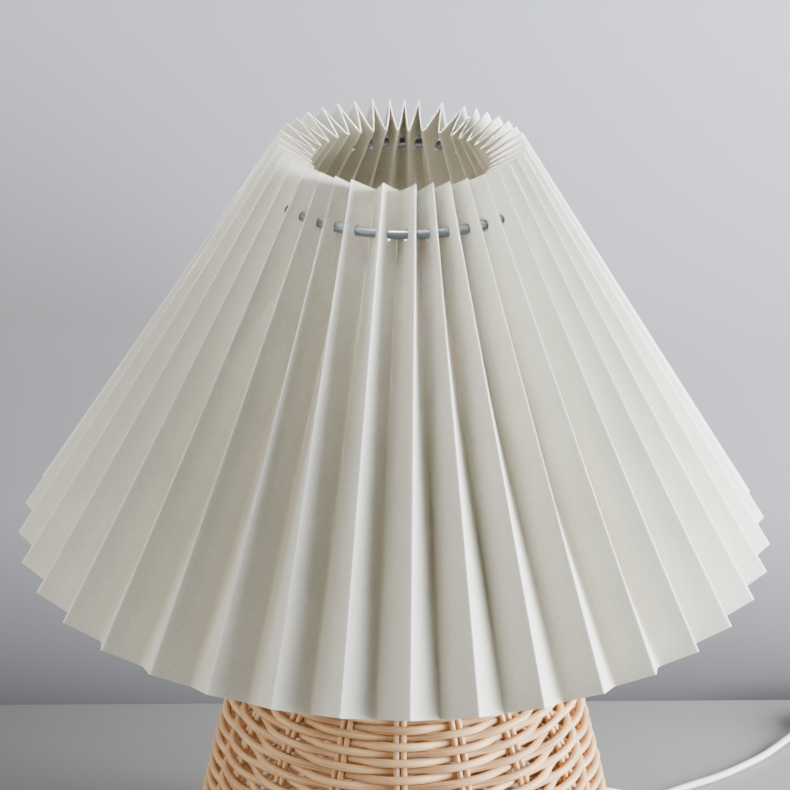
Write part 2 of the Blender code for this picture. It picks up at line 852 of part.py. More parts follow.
def make_plug():
    """A flat two-pin plug that lies on its broad side, its rear towards the coil."""
    sections = (
        (0.0000, 0.0042, 0.0042),
        (0.0100, 0.0058, 0.0054),
        (0.0150, 0.0115, 0.0064),
        (0.0230, 0.0165, PLUG_HALF_HEIGHT),
        (PLUG_LENGTH, PLUG_HALF_WIDTH, PLUG_HALF_HEIGHT),
    )
    sides = 16
    bm = bmesh.new()
    rings = []
    for back, half_width, half_height in sections:
        turns = [math.tau * (k + 0.5) / sides for k in range(sides)]
        rings.append(
            [
                bm.verts.new((half_width * math.cos(t), -back, half_height * math.sin(t)))
                for t in turns
            ]
        )
    for near, far in zip(rings, rings[1:]):
        for k in range(sides):
            nxt = (k + 1) % sides
            bm.faces.new((near[k], near[nxt], far[nxt], far[k]))
    bm.faces.new(rings[0])
    bm.faces.new(rings[-1])
    plug = add_object("plug_body", mesh_from(bm, "plug_body"), white_plastic())
    plug.location = PLUG_REAR
    forward = Matrix.Rotation(math.pi / 2, 4, "X")
    for k, side in enumerate((-1, 1)):
        pin = turned(
            f"plug_pin_{k + 1}",
            (
                (0.0, PIN_LENGTH),
                (PIN_R * 0.55, PIN_LENGTH),
                (PIN_R, PIN_LENGTH - 0.0012),
                (PIN_R, 0.0),
                (0.0, 0.0),
            ),
            steel(),
            12,
        )
        start = PLUG_REAR + Vector((side * PIN_SPACING / 2, -PLUG_LENGTH - GAP, 0.0))
        pin.matrix_world = Matrix.Translation(start) @ forward


# ---------------------------------------------------------------- the lamp
def main():
    clear_scene()
    make_foot()
    make_woven_body()
    make_centre_tube()
    make_neck()
    holder_low, contact_top = make_lamp_holder()
    make_bulb(contact_top)
    make_shade_frame(holder_low + 0.003)
    make_pleated_sheet()
    make_gland()
    make_inner_lead()
    make_lead()
    make_coil()
    make_switch()
    make_plug()


if __name__ == "__main__":
    main()
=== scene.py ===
"""Table lamp with a pleated shade on a woven rattan body: its looks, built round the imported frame.

Laid out as an add-on: sizes and colours are properties, and each group of pieces has its operator.
"""

import math

import bmesh
import bpy
import numpy as np
from bpy.props import FloatProperty, FloatVectorProperty, IntProperty, PointerProperty
from mathutils import Matrix, Vector, noise


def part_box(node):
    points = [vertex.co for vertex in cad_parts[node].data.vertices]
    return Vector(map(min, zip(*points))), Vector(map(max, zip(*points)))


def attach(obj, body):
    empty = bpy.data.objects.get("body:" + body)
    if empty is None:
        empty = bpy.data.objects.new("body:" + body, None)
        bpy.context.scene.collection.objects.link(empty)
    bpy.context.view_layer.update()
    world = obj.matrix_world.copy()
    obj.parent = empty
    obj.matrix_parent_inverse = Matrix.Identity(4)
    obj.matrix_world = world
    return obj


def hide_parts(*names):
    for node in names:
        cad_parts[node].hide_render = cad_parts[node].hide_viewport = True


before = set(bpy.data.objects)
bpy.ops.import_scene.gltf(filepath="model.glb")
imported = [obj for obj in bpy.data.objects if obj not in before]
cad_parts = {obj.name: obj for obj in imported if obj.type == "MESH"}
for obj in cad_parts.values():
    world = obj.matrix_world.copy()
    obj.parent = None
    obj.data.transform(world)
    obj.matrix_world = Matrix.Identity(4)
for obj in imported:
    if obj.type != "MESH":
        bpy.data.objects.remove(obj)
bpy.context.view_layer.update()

bl_info = {
    "name": "Pleated Rattan Lamp",
    "version": (1, 0, 0),
    "blender": (4, 5, 0),
    "location": "View3D > Sidebar > Lamp",
    "description": "Builds the looks of a table lamp with a pleated shade on a woven rattan body",
    "category": "Add Mesh",
}

RING_LOW, RING_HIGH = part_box("shade_ring")
HOLDER_LOW, HOLDER_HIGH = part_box("holder_body")
RING_NUT_LOW, RING_NUT_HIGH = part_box("shade_ring_nut")
COIL_LOW, COIL_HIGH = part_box("cord_coil")
GLOBE_LOW, GLOBE_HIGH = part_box("bulb_globe")

FRONT = math.radians(272.0)  # where the first pleat's outer fold stands, seen from above
TOUCH = 0.0003  # clearance that touching solids keep


def middle(low, high):
    return (low + high) / 2


# ---------------------------------------------------------------- sizes and colours
def metres(name, description, default, **limits):
    return FloatProperty(
        name=name, description=description, default=default, unit="LENGTH", precision=4, **limits
    )


def degrees(name, description, default):
    return FloatProperty(
        name=name, description=description, default=math.radians(default), subtype="ANGLE"
    )


def colour(name, description, default):
    return FloatVectorProperty(
        name=name, description=description, default=default, subtype="COLOR", min=0.0, max=1.0
    )


class ShadeSettings(bpy.types.PropertyGroup):
    pleats: IntProperty(
        name="Pleats", description="Outer folds round the shade", default=39, min=12
    )
    bottom_radius: metres("Bottom radius", "Outer folds at the lower rim", 0.180)
    top_radius: metres("Top radius", "Outer folds at the upper rim", 0.056)
    bottom_height: metres("Bottom height", "Outer folds' lower end above the table", 0.235)
    height: metres("Height", "From the lower to the upper rim", 0.195)
    face: metres("Pleat face", "Flat width between two folds", 0.0195)
    thickness: metres("Thickness", "Thickness of the laminated sheet", 0.0006)
    cupping: metres("Cupping", "How far a face bows between its folds", 0.00045)
    hole_radius: metres("Hole radius", "Punched holes for the ring", 0.0031)
    rod_radius: metres("Rod radius", "Half the ring rod's thickness", 0.0021)
    lean: degrees("Lean", "How far the shade hangs out of level, right side low", 1.37)
    linen: colour("Linen", "Colour of the pleated sheet", (0.89, 0.87, 0.765))
    rod_grey: colour("Rod grey", "Colour of the ring and its arms", (0.13, 0.15, 0.17))


class WeaveSettings(bpy.types.PropertyGroup):
    stakes: IntProperty(
        name="Stakes",
        description="Upright pairs; an odd number lets one weaver spiral over and under",
        default=17,
        min=9,
    )
    row_pitch: metres("Row pitch", "Distance from one woven row to the next", 0.0039)
    weaver_radius: metres("Weaver radius", "Half the thickness of the woven strand", 0.00200)
    stake_radius: metres("Stake radius", "Half the thickness of an upright", 0.00150)
    reach: metres("Reach", "How far the weaver swings in and out round a stake", 0.0032)
    unevenness: metres("Unevenness", "How far hand-woven rows wander", 0.0005)
    rattan: colour("Rattan", "Light tone of the rattan core", (0.72, 0.445, 0.22))
    rattan_dark: colour("Rattan dark", "Dark tone of its grain", (0.27, 0.115, 0.04))


class HolderSettings(bpy.types.PropertyGroup):
    ribs: IntProperty(name="Ribs", description="Grip ribs round the ring nut", default=36, min=8)
    thread_pitch: metres("Thread pitch", "Distance between the holder's thread ridges", 0.0025)
    plastic: colour("Plastic", "Colour of the holder, switch and plug", (0.82, 0.82, 0.82))
    opal: colour("Opal", "Colour of the bulb's globe", (0.90, 0.89, 0.86))


class LeadSettings(bpy.types.PropertyGroup):
    diameter: metres("Diameter", "Thickness of the round lead", 0.0040)
    length: FloatProperty(
        name="Length", description="Free lead from gland to plug", default=1.8, unit="LENGTH"
    )
    turns: IntProperty(name="Turns", description="Turns in the stored coil", default=10, min=4)
    sheath: colour("Sheath", "Colour of the lead", (0.80, 0.79, 0.83))


class StageSettings(bpy.types.PropertyGroup):
    wall_distance: metres("Wall distance", "From the lamp's axis to the wall behind", 0.2145)
    table_grey: colour("Table grey", "Colour of the table", (0.29, 0.28, 0.27))
    wall_grey: colour("Wall grey", "Colour of the wall", (0.41, 0.415, 0.455))
    window_power: FloatProperty(
        name="Window power", description="Low light from the right, in watts", default=66.0
    )
    key_power: FloatProperty(
        name="Key power", description="Low light from the front right, in watts", default=54.0
    )
    fill_power: FloatProperty(
        name="Fill power", description="Soft light from the front left, in watts", default=19.0
    )
    side_power: FloatProperty(
        name="Side power", description="Weak light from the left, in watts", default=11.0
    )
    top_power: FloatProperty(
        name="Top power", description="Narrow light down into the shade, in watts", default=0.25
    )


# ---------------------------------------------------------------- finishes
def new_finish(name, base, roughness, **inputs):
    """A material with a Principled shader, and the shader, ready for its pattern."""
    finish = bpy.data.materials.new(name)
    finish.use_nodes = True
    shader = finish.node_tree.nodes["Principled BSDF"]
    shader.inputs["Base Color"].default_value = (*base, 1.0)
    shader.inputs["Roughness"].default_value = roughness
    for socket, value in inputs.items():
        shader.inputs[socket.replace("_", " ")].default_value = value
    finish.diffuse_color = (*base, 1.0)
    return finish, shader


def add_node(finish, kind, **settings):
    node = finish.node_tree.nodes.new(kind)
    for name, value in settings.items():
        setattr(node, name, value)
    return node


def link(finish, source, target):
    finish.node_tree.links.new(source, target)


def coordinates(finish, source, scale):
    """Object or UV coordinates, stretched by scale."""
    where = add_node(finish, "ShaderNodeTexCoord")
    mapping = add_node(finish, "ShaderNodeMapping")
    mapping.inputs["Scale"].default_value = scale
    link(finish, where.outputs[source], mapping.inputs["Vector"])
    return mapping.outputs["Vector"]


def along_axis(finish, source, axis):
    """The X, Y or Z of Object or UV coordinates."""
    where = add_node(finish, "ShaderNodeTexCoord")
    apart = add_node(finish, "ShaderNodeSeparateXYZ")
    link(finish, where.outputs[source], apart.inputs[0])
    return apart.outputs[axis]


def grain(finish, source, scale, detail=3.0, rough=0.5, distortion=0.0):
    """Noise read from stretched coordinates; its Fac output."""
    texture = add_node(finish, "ShaderNodeTexNoise")
    texture.inputs["Scale"].default_value = 1.0
    texture.inputs["Detail"].default_value = detail
    texture.inputs["Roughness"].default_value = rough
    texture.inputs["Distortion"].default_value = distortion
    link(finish, coordinates(finish, source, scale), texture.inputs["Vector"])
    return texture.outputs["Fac"]


def spread(finish, value, low, high, out_low=0.0, out_high=1.0):
    """Maps the range low to high onto out_low to out_high, clamped."""
    node = add_node(finish, "ShaderNodeMapRange")
    for name, number in zip(
        ("From Min", "From Max", "To Min", "To Max"), (low, high, out_low, out_high)
    ):
        node.inputs[name].default_value = number
    link(finish, value, node.inputs["Value"])
    return node.outputs["Result"]


def sum_of(finish, first, second, share=0.5):
    """first and second mixed, with that share of second."""
    node = add_node(finish, "ShaderNodeMix", data_type="FLOAT")
    node.inputs["Factor"].default_value = share
    link(finish, first, node.inputs["A"])
    link(finish, second, node.inputs["B"])
    return node.outputs["Result"]


def tint(finish, factor, first, second):
    """A colour between two, by a factor; either may be a colour or a socket."""
    node = add_node(finish, "ShaderNodeMix", data_type="RGBA")
    link(finish, factor, node.inputs["Factor"])
    for place, value in ((6, first), (7, second)):
        if isinstance(value, bpy.types.NodeSocket):
            link(finish, value, node.inputs[place])
        else:
            node.inputs[place].default_value = (*value, 1.0)
    return node.outputs[2]


def relief(finish, shader, height, distance, strength=1.0):
    """Raises the surface by a pattern; distance is its height in metres."""
    bump = add_node(finish, "ShaderNodeBump")
    bump.inputs["Strength"].default_value = strength
    bump.inputs["Distance"].default_value = distance
    link(finish, height, bump.inputs["Height"])
    link(finish, bump.outputs["Normal"], shader.inputs["Normal"])
    return bump.outputs["Normal"]


def show(finish, shader):
    """Sends a shader's output to the surface, in place of the Principled shader's own."""
    out = next(n for n in finish.node_tree.nodes if n.type == "OUTPUT_MATERIAL")
    link(finish, shader, out.inputs["Surface"])


def finish_once(maker):
    """Makes each finish the first time it is asked for, and gives the same one after that."""
    made = {}

    def give():
        if maker not in made:
            made[maker] = maker()
        return made[maker]

    return give


LIGHT_THROUGH = 0.18  # share of the light that comes through the linen
PAINTED_HIGHLIGHT_FULL = 0.0004  # how far from an outer fold the painted highlight is quite white
PAINTED_HIGHLIGHT_END = 0.0011  # and where the painted highlight ends
PAINTED_SHADE_START = 0.55  # share of a face, from its outer fold, where the inner fold's painted shade begins


@finish_once
def linen():
    """Off-white linen laminate: fine threads both ways, a painted highlight along each outer fold, painted
    shade in each inner fold, light coming through.
    """
    settings = bpy.context.scene.lamp_shade
    base = settings.linen
    finish, shader = new_finish("pleated_linen", base, 0.7, Sheen_Weight=0.15)
    along = grain(finish, "UV", (220.0, 2600.0, 1.0), 2.0, 0.6)
    across = grain(finish, "UV", (2600.0, 260.0, 1.0), 2.0, 0.6)
    threads = sum_of(finish, along, across)
    slubs = grain(finish, "UV", (420.0, 1150.0, 1.0), 3.0, 0.6)
    mottle = sum_of(finish, grain(finish, "UV", (45.0, 45.0, 1.0), 3.0), slubs, 0.6)
    tone = sum_of(finish, threads, mottle, 0.5)
    darker = [channel * 0.78 for channel in base]
    lighter = [min(1.0, channel * 1.06) for channel in base]
    shade = tint(finish, spread(finish, tone, 0.35, 0.65), darker, lighter)
    # painted highlight: the outer folds are painted nearly white, in place of light catching them
    painted_fold_highlight, painted_valley_shade = painted_fold_light(finish, settings.face)
    # painted shade: the inner folds are painted darker and warmer, in place of the shade that falls in
    # them; deep is its colour
    deep = [channel * share for channel, share in zip(base, (0.80, 0.76, 0.68))]
    painted_fold_colour = tint(finish, painted_fold_highlight, tint(finish, painted_valley_shade, shade, deep), (0.97, 0.97, 0.96))
    link(finish, painted_fold_colour, shader.inputs["Base Color"])
    normal = relief(finish, shader, sum_of(finish, threads, slubs, 0.6), 0.00040)
    glow = add_node(finish, "ShaderNodeBsdfTranslucent")
    warm = [channel * share for channel, share in zip(base, (1.0, 0.95, 0.82))]
    link(finish, tint(finish, spread(finish, tone, 0.3, 0.7), warm, base), glow.inputs["Color"])
    link(finish, normal, glow.inputs["Normal"])
    both = add_node(finish, "ShaderNodeMixShader")
    both.inputs[0].default_value = LIGHT_THROUGH
    link(finish, shader.outputs["BSDF"], both.inputs[1])
    link(finish, glow.outputs["BSDF"], both.inputs[2])
    show(finish, both.outputs["Shader"])
    return finish


def painted_fold_light(finish, face):
    """Two masks of painted light: a painted highlight along the outer folds, and painted shade in the inner
    folds.
    """
    wave = add_node(finish, "ShaderNodeMath", operation="PINGPONG")
    link(finish, along_axis(finish, "UV", "X"), wave.inputs[0])
    wave.inputs[1].default_value = face
    painted_fold_highlight = spread(finish, wave.outputs[0], PAINTED_HIGHLIGHT_FULL, PAINTED_HIGHLIGHT_END, 1.0, 0.0)
    painted_valley_shade = spread(finish, wave.outputs[0], face * PAINTED_SHADE_START, face, 0.0, 0.8)
    return painted_fold_highlight, painted_valley_shade


@finish_once
def rattan():
    """Natural rattan core: satin, with fine grain along the strand and slow changes of tone."""
    settings = bpy.context.scene.lamp_weave
    finish, shader = new_finish("natural_rattan", settings.rattan, 0.42, Coat_Weight=0.12)
    fibres = grain(finish, "UV", (14.0, 1500.0, 1.0), 5.0, 0.7)
    patches = grain(finish, "UV", (14.0, 60.0, 1.0), 3.0, 0.55)
    region = grain(finish, "Object", (34.0, 34.0, 34.0), 2.0)
    fine = tint(
        finish, spread(finish, fibres, 0.36, 0.56), settings.rattan_dark, settings.rattan
    )
    pale = [min(1.0, channel * 1.16 + 0.02) for channel in settings.rattan]
    toned = tint(finish, spread(finish, patches, 0.38, 0.68, 0.0, 0.75), fine, pale)
    warm = [channel * share for channel, share in zip(settings.rattan, (0.80, 0.70, 0.62))]
    final = tint(finish, spread(finish, region, 0.45, 0.75, 0.0, 0.5), toned, warm)
    link(finish, final, shader.inputs["Base Color"])
    gloss = spread(finish, fibres, 0.3, 0.7, 0.58, 0.34)
    link(finish, gloss, shader.inputs["Roughness"])
    relief(finish, shader, fibres, 0.00022)
    return finish


@finish_once
def grey_rod():
    """Grey coated steel rod with a faint drawn texture."""
    base = bpy.context.scene.lamp_shade.rod_grey
    finish, shader = new_finish("grey_rod", base, 0.32, Metallic=0.35, Coat_Weight=0.3)
    wear = grain(finish, "Object", (900.0, 900.0, 900.0), 3.0)
    brighter = [channel * 1.5 for channel in base]
    link(finish, tint(finish, wear, base, brighter), shader.inputs["Base Color"])
    link(finish, spread(finish, wear, 0.3, 0.7, 0.26, 0.42), shader.inputs["Roughness"])
    return finish


@finish_once
def plated_steel():
    """Bright zinc plate with fine brushing and dull spots."""
    base = (0.66, 0.66, 0.68)
    finish, shader = new_finish("plated_steel", base, 0.28, Metallic=1.0)
    brushing = grain(finish, "Object", (300.0, 300.0, 5000.0), 3.0)
    link(finish, spread(finish, brushing, 0.3, 0.7, 0.2, 0.42), shader.inputs["Roughness"])
    dull = tint(finish, spread(finish, brushing, 0.4, 0.6), (0.55, 0.55, 0.58), base)
    link(finish, dull, shader.inputs["Base Color"])
    return finish


@finish_once
def brass():
    """Pressed brass, slightly tarnished."""
    finish, shader = new_finish("pressed_brass", (0.78, 0.57, 0.25), 0.25, Metallic=1.0)
    tarnish = grain(finish, "Object", (260.0, 260.0, 260.0), 4.0)
    link(
        finish,
        tint(finish, spread(finish, tarnish, 0.4, 0.7), (0.78, 0.57, 0.25), (0.52, 0.36, 0.16)),
        shader.inputs["Base Color"],
    )
    link(finish, spread(finish, tarnish, 0.35, 0.7, 0.2, 0.4), shader.inputs["Roughness"])
    return finish


@finish_once
def white_plastic():
    """Moulded white plastic with a faint spark-eroded grain."""
    base = bpy.context.scene.lamp_holder.plastic
    finish, shader = new_finish("white_plastic", base, 0.35, Coat_Weight=0.1)
    pits = grain(finish, "Object", (2600.0, 2600.0, 2600.0), 2.0)
    cloud = grain(finish, "Object", (60.0, 60.0, 60.0), 2.0)
    duller = [channel * 0.95 for channel in base]
    link(finish, tint(finish, cloud, duller, base), shader.inputs["Base Color"])
    link(finish, spread(finish, pits, 0.3, 0.7, 0.30, 0.44), shader.inputs["Roughness"])
    relief(finish, shader, pits, 0.00002)
    return finish


@finish_once
def white_sheath():
    """The lead's soft white sheath, a little waxy."""
    base = bpy.context.scene.lamp_lead.sheath
    finish, shader = new_finish("white_sheath", base, 0.42, Subsurface_Weight=0.08)
    shader.inputs["Subsurface Radius"].default_value = (0.001, 0.001, 0.001)
    waves = grain(finish, "UV", (70.0, 200.0, 1.0), 2.0)
    skin = grain(finish, "UV", (1200.0, 1200.0, 1.0), 2.0)
    darker = [channel * 0.93 for channel in base]
    link(finish, tint(finish, waves, darker, base), shader.inputs["Base Color"])
    link(finish, spread(finish, skin, 0.3, 0.7, 0.36, 0.50), shader.inputs["Roughness"])
    relief(finish, shader, skin, 0.00002)
    return finish


@finish_once
def ceramic():
    """Unglazed white ceramic with a chalky speckle."""
    finish, shader = new_finish("white_ceramic", (0.80, 0.78, 0.74), 0.6)
    speckle = grain(finish, "Object", (1500.0, 1500.0, 1500.0), 3.0)
    link(
        finish,
        tint(finish, spread(finish, speckle, 0.45, 0.7), (0.82, 0.80, 0.76), (0.70, 0.67, 0.62)),
        shader.inputs["Base Color"],
    )
    relief(finish, shader, speckle, 0.00004)
    return finish


@finish_once
def opal_glass():
    """Opal white globe with a faint warm haze."""
    base = bpy.context.scene.lamp_holder.opal
    finish, shader = new_finish("opal_glass", base, 0.22, Coat_Weight=0.4)
    haze = grain(finish, "Object", (120.0, 120.0, 120.0), 2.0)
    warmer = (base[0], base[1] * 0.985, base[2] * 0.95)
    link(finish, tint(finish, haze, base, warmer), shader.inputs["Base Color"])
    link(finish, spread(finish, haze, 0.3, 0.7, 0.16, 0.28), shader.inputs["Roughness"])
    return finish


@finish_once
def grey_felt():
    """Pressed grey felt with loose fibres."""
    finish, shader = new_finish("grey_felt", (0.16, 0.155, 0.15), 0.95, Sheen_Weight=0.4)
    fibres = grain(finish, "Object", (1400.0, 1400.0, 1400.0), 5.0, 0.7, 1.0)
    link(
        finish,
        tint(finish, spread(finish, fibres, 0.35, 0.65), (0.10, 0.10, 0.10), (0.24, 0.23, 0.22)),
        shader.inputs["Base Color"],
    )
    relief(finish, shader, fibres, 0.0003)
    return finish


@finish_once
def plywood():
    """Sanded birch plywood with long figure across its face."""
    finish, shader = new_finish("birch_plywood", (0.62, 0.46, 0.29), 0.6)
    figure = grain(finish, "Object", (16.0, 260.0, 260.0), 4.0, 0.6, 0.6)
    link(
        finish,
        tint(finish, spread(finish, figure, 0.35, 0.65), (0.50, 0.34, 0.19), (0.68, 0.52, 0.34)),
        shader.inputs["Base Color"],
    )
    relief(finish, shader, figure, 0.00008)
    return finish


# ---------------------------------------------------------------- mesh helpers
def add_piece(mesh_or_curve, name, finish):
    """An object in the scene that wears one finish."""
    mesh_or_curve.materials.clear()
    mesh_or_curve.materials.append(finish)
    piece = bpy.data.objects.new(name, mesh_or_curve)
    bpy.context.scene.collection.objects.link(piece)
    return piece


def settled(bm, name, finish, sharp=35.0):
    """A finished piece from a bmesh: doubles merged, faces outwards, shaded smooth between sharp edges."""
    bmesh.ops.remove_doubles(bm, verts=bm.verts, dist=1e-6)
    bmesh.ops.recalc_face_normals(bm, faces=bm.faces)
    mesh = bpy.data.meshes.new(name)
    bm.to_mesh(mesh)
    bm.free()
    mesh.shade_smooth()
    mesh.set_sharp_from_angle(angle=math.radians(sharp))
    return add_piece(mesh, name, finish)


def applied(piece, sharp=None):
    """The piece with its modifiers, curve bevel and place worked into its mesh."""
    bpy.context.view_layer.update()
    graph = bpy.context.evaluated_depsgraph_get()
    mesh = bpy.data.meshes.new_from_object(piece.evaluated_get(graph), depsgraph=graph)
    mesh.transform(piece.matrix_world)
    name, old = piece.name, piece.data
    bpy.data.objects.remove(piece)
    if old.users == 0:
        (bpy.data.curves if isinstance(old, bpy.types.Curve) else bpy.data.meshes).remove(old)
    mesh.name = name
    mesh.shade_smooth()
    if sharp is not None:
        mesh.set_sharp_from_angle(angle=math.radians(sharp))
    made = bpy.data.objects.new(name, mesh)
    bpy.context.scene.collection.objects.link(made)
    return made


def spun(outline, segments, name, finish, sharp=35.0):
    """A turned piece: an outline of (radius, height) points carried once round Z."""
    bm = bmesh.new()
    corners = [bm.verts.new((radius, 0.0, height)) for radius, height in outline]
    edges = [bm.edges.new(pair) for pair in zip(corners, corners[1:])]
    if outline[0][0] > 0.0 or outline[-1][0] > 0.0:
        edges.append(bm.edges.new((corners[-1], corners[0])))
    bmesh.ops.spin(
        bm,
        geom=corners + edges,
        cent=(0, 0, 0),
        axis=(0, 0, 1),
        angle=math.tau,
        steps=segments,
        use_merge=True,
    )
    return settled(bm, name, finish, sharp)


def ring_outline(radius, height, section, sides=12):
    turns = [math.tau * k / sides for k in range(sides)]
    return [(radius + section * math.cos(t), height + section * math.sin(t)) for t in turns]


def smooth_route(points, step):
    """Points about step apart on one smooth curve through the given ones."""
    ends = [points[0] * 2 - points[1], *points, points[-1] * 2 - points[-2]]
    route = []
    for k in range(1, len(ends) - 2):
        before, start, end, after = ends[k - 1 : k + 3]
        pieces = max(1, round((end - start).length / step))
        for i in range(pieces):
            t = i / pieces
            route.append(
                0.5
                * (
                    2 * start
                    + (end - before) * t
                    + (2 * before - 5 * start + 4 * end - after) * t**2
                    + (3 * start - before - 3 * end + after) * t**3
                )
            )
    route.append(points[-1])
    return route


def strand(data, points, radii=None, closed=False):
    """Adds a run of points to a curve, each with its share of the curve's thickness."""
    spline = data.splines.new("POLY")
    spline.points.add(len(points) - 1)
    spline.use_cyclic_u = closed
    for k, point in enumerate(points):
        spline.points[k].co = (*point, 1.0)
        if radii is not None:
            spline.points[k].radius = radii[k]
    return spline


def strand_data(name, radius, resolution=2):
    """A curve whose strands are round and have closed ends. Resolution 2 gives 8 sides, 3 gives 10."""
    data = bpy.data.curves.new(name, "CURVE")
    data.dimensions = "3D"
    data.bevel_depth = radius
    data.bevel_resolution = resolution
    data.use_fill_caps = True
    return data


def length_of(points):
    return sum((b - a).length for a, b in zip(points, points[1:]))


def strand_piece(data, name, finish, length, radius):
    """The strands as a mesh whose UV map is in metres: along the strand, then round it."""
    piece = applied(add_piece(data, name, finish), sharp=50.0)
    layer = piece.data.uv_layers[0].data
    places = np.empty(len(layer) * 2, np.float32)
    layer.foreach_get("uv", places)
    places[0::2] *= length
    places[1::2] *= math.tau * radius
    layer.foreach_set("uv", places)
    return piece


def wander(amount, *place):
    """A smooth offset between -amount and amount, the same each run."""
    return amount * noise.noise(Vector(place))


# ---------------------------------------------------------------- the pleated shade
# How far the folds have drifted from even spacing, in degrees: all of them, then the most that a
# single swing round the shade adds, and the angle from the front where it adds it.
BOTTOM_DRIFT = (-2.5, 3, 30)
TOP_DRIFT = (-5, 6.5, 45)
TOP_OPENINGS = ((-1, 7), (18, 5))  # pleats pulled open at the top: about which fold, how far
OPENING_WIDTH = 1.5  # folds to either side


def fold_angle(index, drift, openings=()):
    """The angle of an outer fold round the shade, from above."""
    count = bpy.context.scene.lamp_shade.pleats
    turn = math.tau * index / count
    everywhere, swing, crest = drift
    offset = everywhere + swing * math.cos(turn - math.radians(crest))
    for centre, amount in openings:
        off = (index - centre + count / 2) % count - count / 2
        offset += amount * off * math.exp(-((off / OPENING_WIDTH) ** 2))
    return FRONT + turn + math.radians(offset)


def rim_folds(radius, height, drift, openings=()):
    """The outer and the inner folds' ends along one rim, all their faces equally wide."""
    settings = bpy.context.scene.lamp_shade
    slope = math.atan2(settings.bottom_radius - settings.top_radius, settings.height)
    inwards = Vector((math.cos(slope), math.sin(slope)))
    outer, inner = [], []
    for k in range(settings.pleats):
        here = fold_angle(k, drift, openings)
        after = fold_angle((k + 1) % settings.pleats, drift, openings)
        half = ((after - here) % math.tau) / 2
        depth = math.sqrt(settings.face**2 - (radius * math.sin(half)) ** 2)
        deep = radius * math.cos(half) - depth * inwards.x
        between = here + half
        outer.append(Vector((radius * math.cos(here), radius * math.sin(here), height)))
        inner.append(
            Vector((deep * math.cos(between), deep * math.sin(between), height - depth * inwards.y))
        )
    return outer, inner


# places across a pleat, from its outer fold (-1) through its inner fold (0) to the next (1)
PLEAT_PLACES = (-1, -0.985, -0.955, -0.85, -0.65, -0.42, -0.22, -0.10, -0.04)
VALLEY = 0.10  # share of a face that is rounded off at the inner fold
CREST = 0.035  # the same at the outer fold
SHEET_ROWS = 30
HOLE_STEPS = 180  # round the shade, along the ring of punched holes
ROD_STEPS = 160


def pleat_point(low, high, up, pleat, place):
    """A point of the sheet: up runs from the lower to the upper rim, place across one pleat."""
    settings = bpy.context.scene.lamp_shade
    count = settings.pleats

    def fold(kind, index):
        return low[kind][index % count].lerp(high[kind][index % count], up)

    valley = fold(1, pleat)
    before, after = fold(0, pleat), fold(0, pleat + 1)
    side, crest = (before, pleat - 1) if place < 0 else (after, pleat + 1)
    point = valley.lerp(side, abs(place))
    if abs(place) < VALLEY:
        point += ((before + after) / 2 - valley) * (VALLEY - abs(place)) ** 2 / (2 * VALLEY)
    rest = 1 - abs(place)
    if rest < CREST:
        point += ((valley + fold(1, crest)) / 2 - side) * (CREST - rest) ** 2 / (2 * CREST)
    face = 2 * pleat + (place > 0)
    outwards = (after - before).cross(fold(0, pleat) - low[0][pleat % count] + Vector((0, 0, 1)))
    across = (side - valley).cross(high[0][pleat % count] - low[0][pleat % count]).normalized()
    across *= 1 if across.dot(outwards) > 0 else -1
    bow = 4 * abs(place) * rest
    depth = -settings.cupping * (0.6 + 0.8 * noise.noise(Vector((face * 3.1, up * 1.5, 0.5))))
    depth += wander(0.0005, face * 1.7, up * 4.0, 9.0) * (1.2 - up)
    return point + across * (bow * depth)


def leaned(centre):
    """The turn that lets the shade hang a little out of level on its ring."""
    turn = Matrix.Rotation(bpy.context.scene.lamp_shade.lean, 4, "Y")
    return Matrix.Translation(centre) @ turn @ Matrix.Translation(-centre)


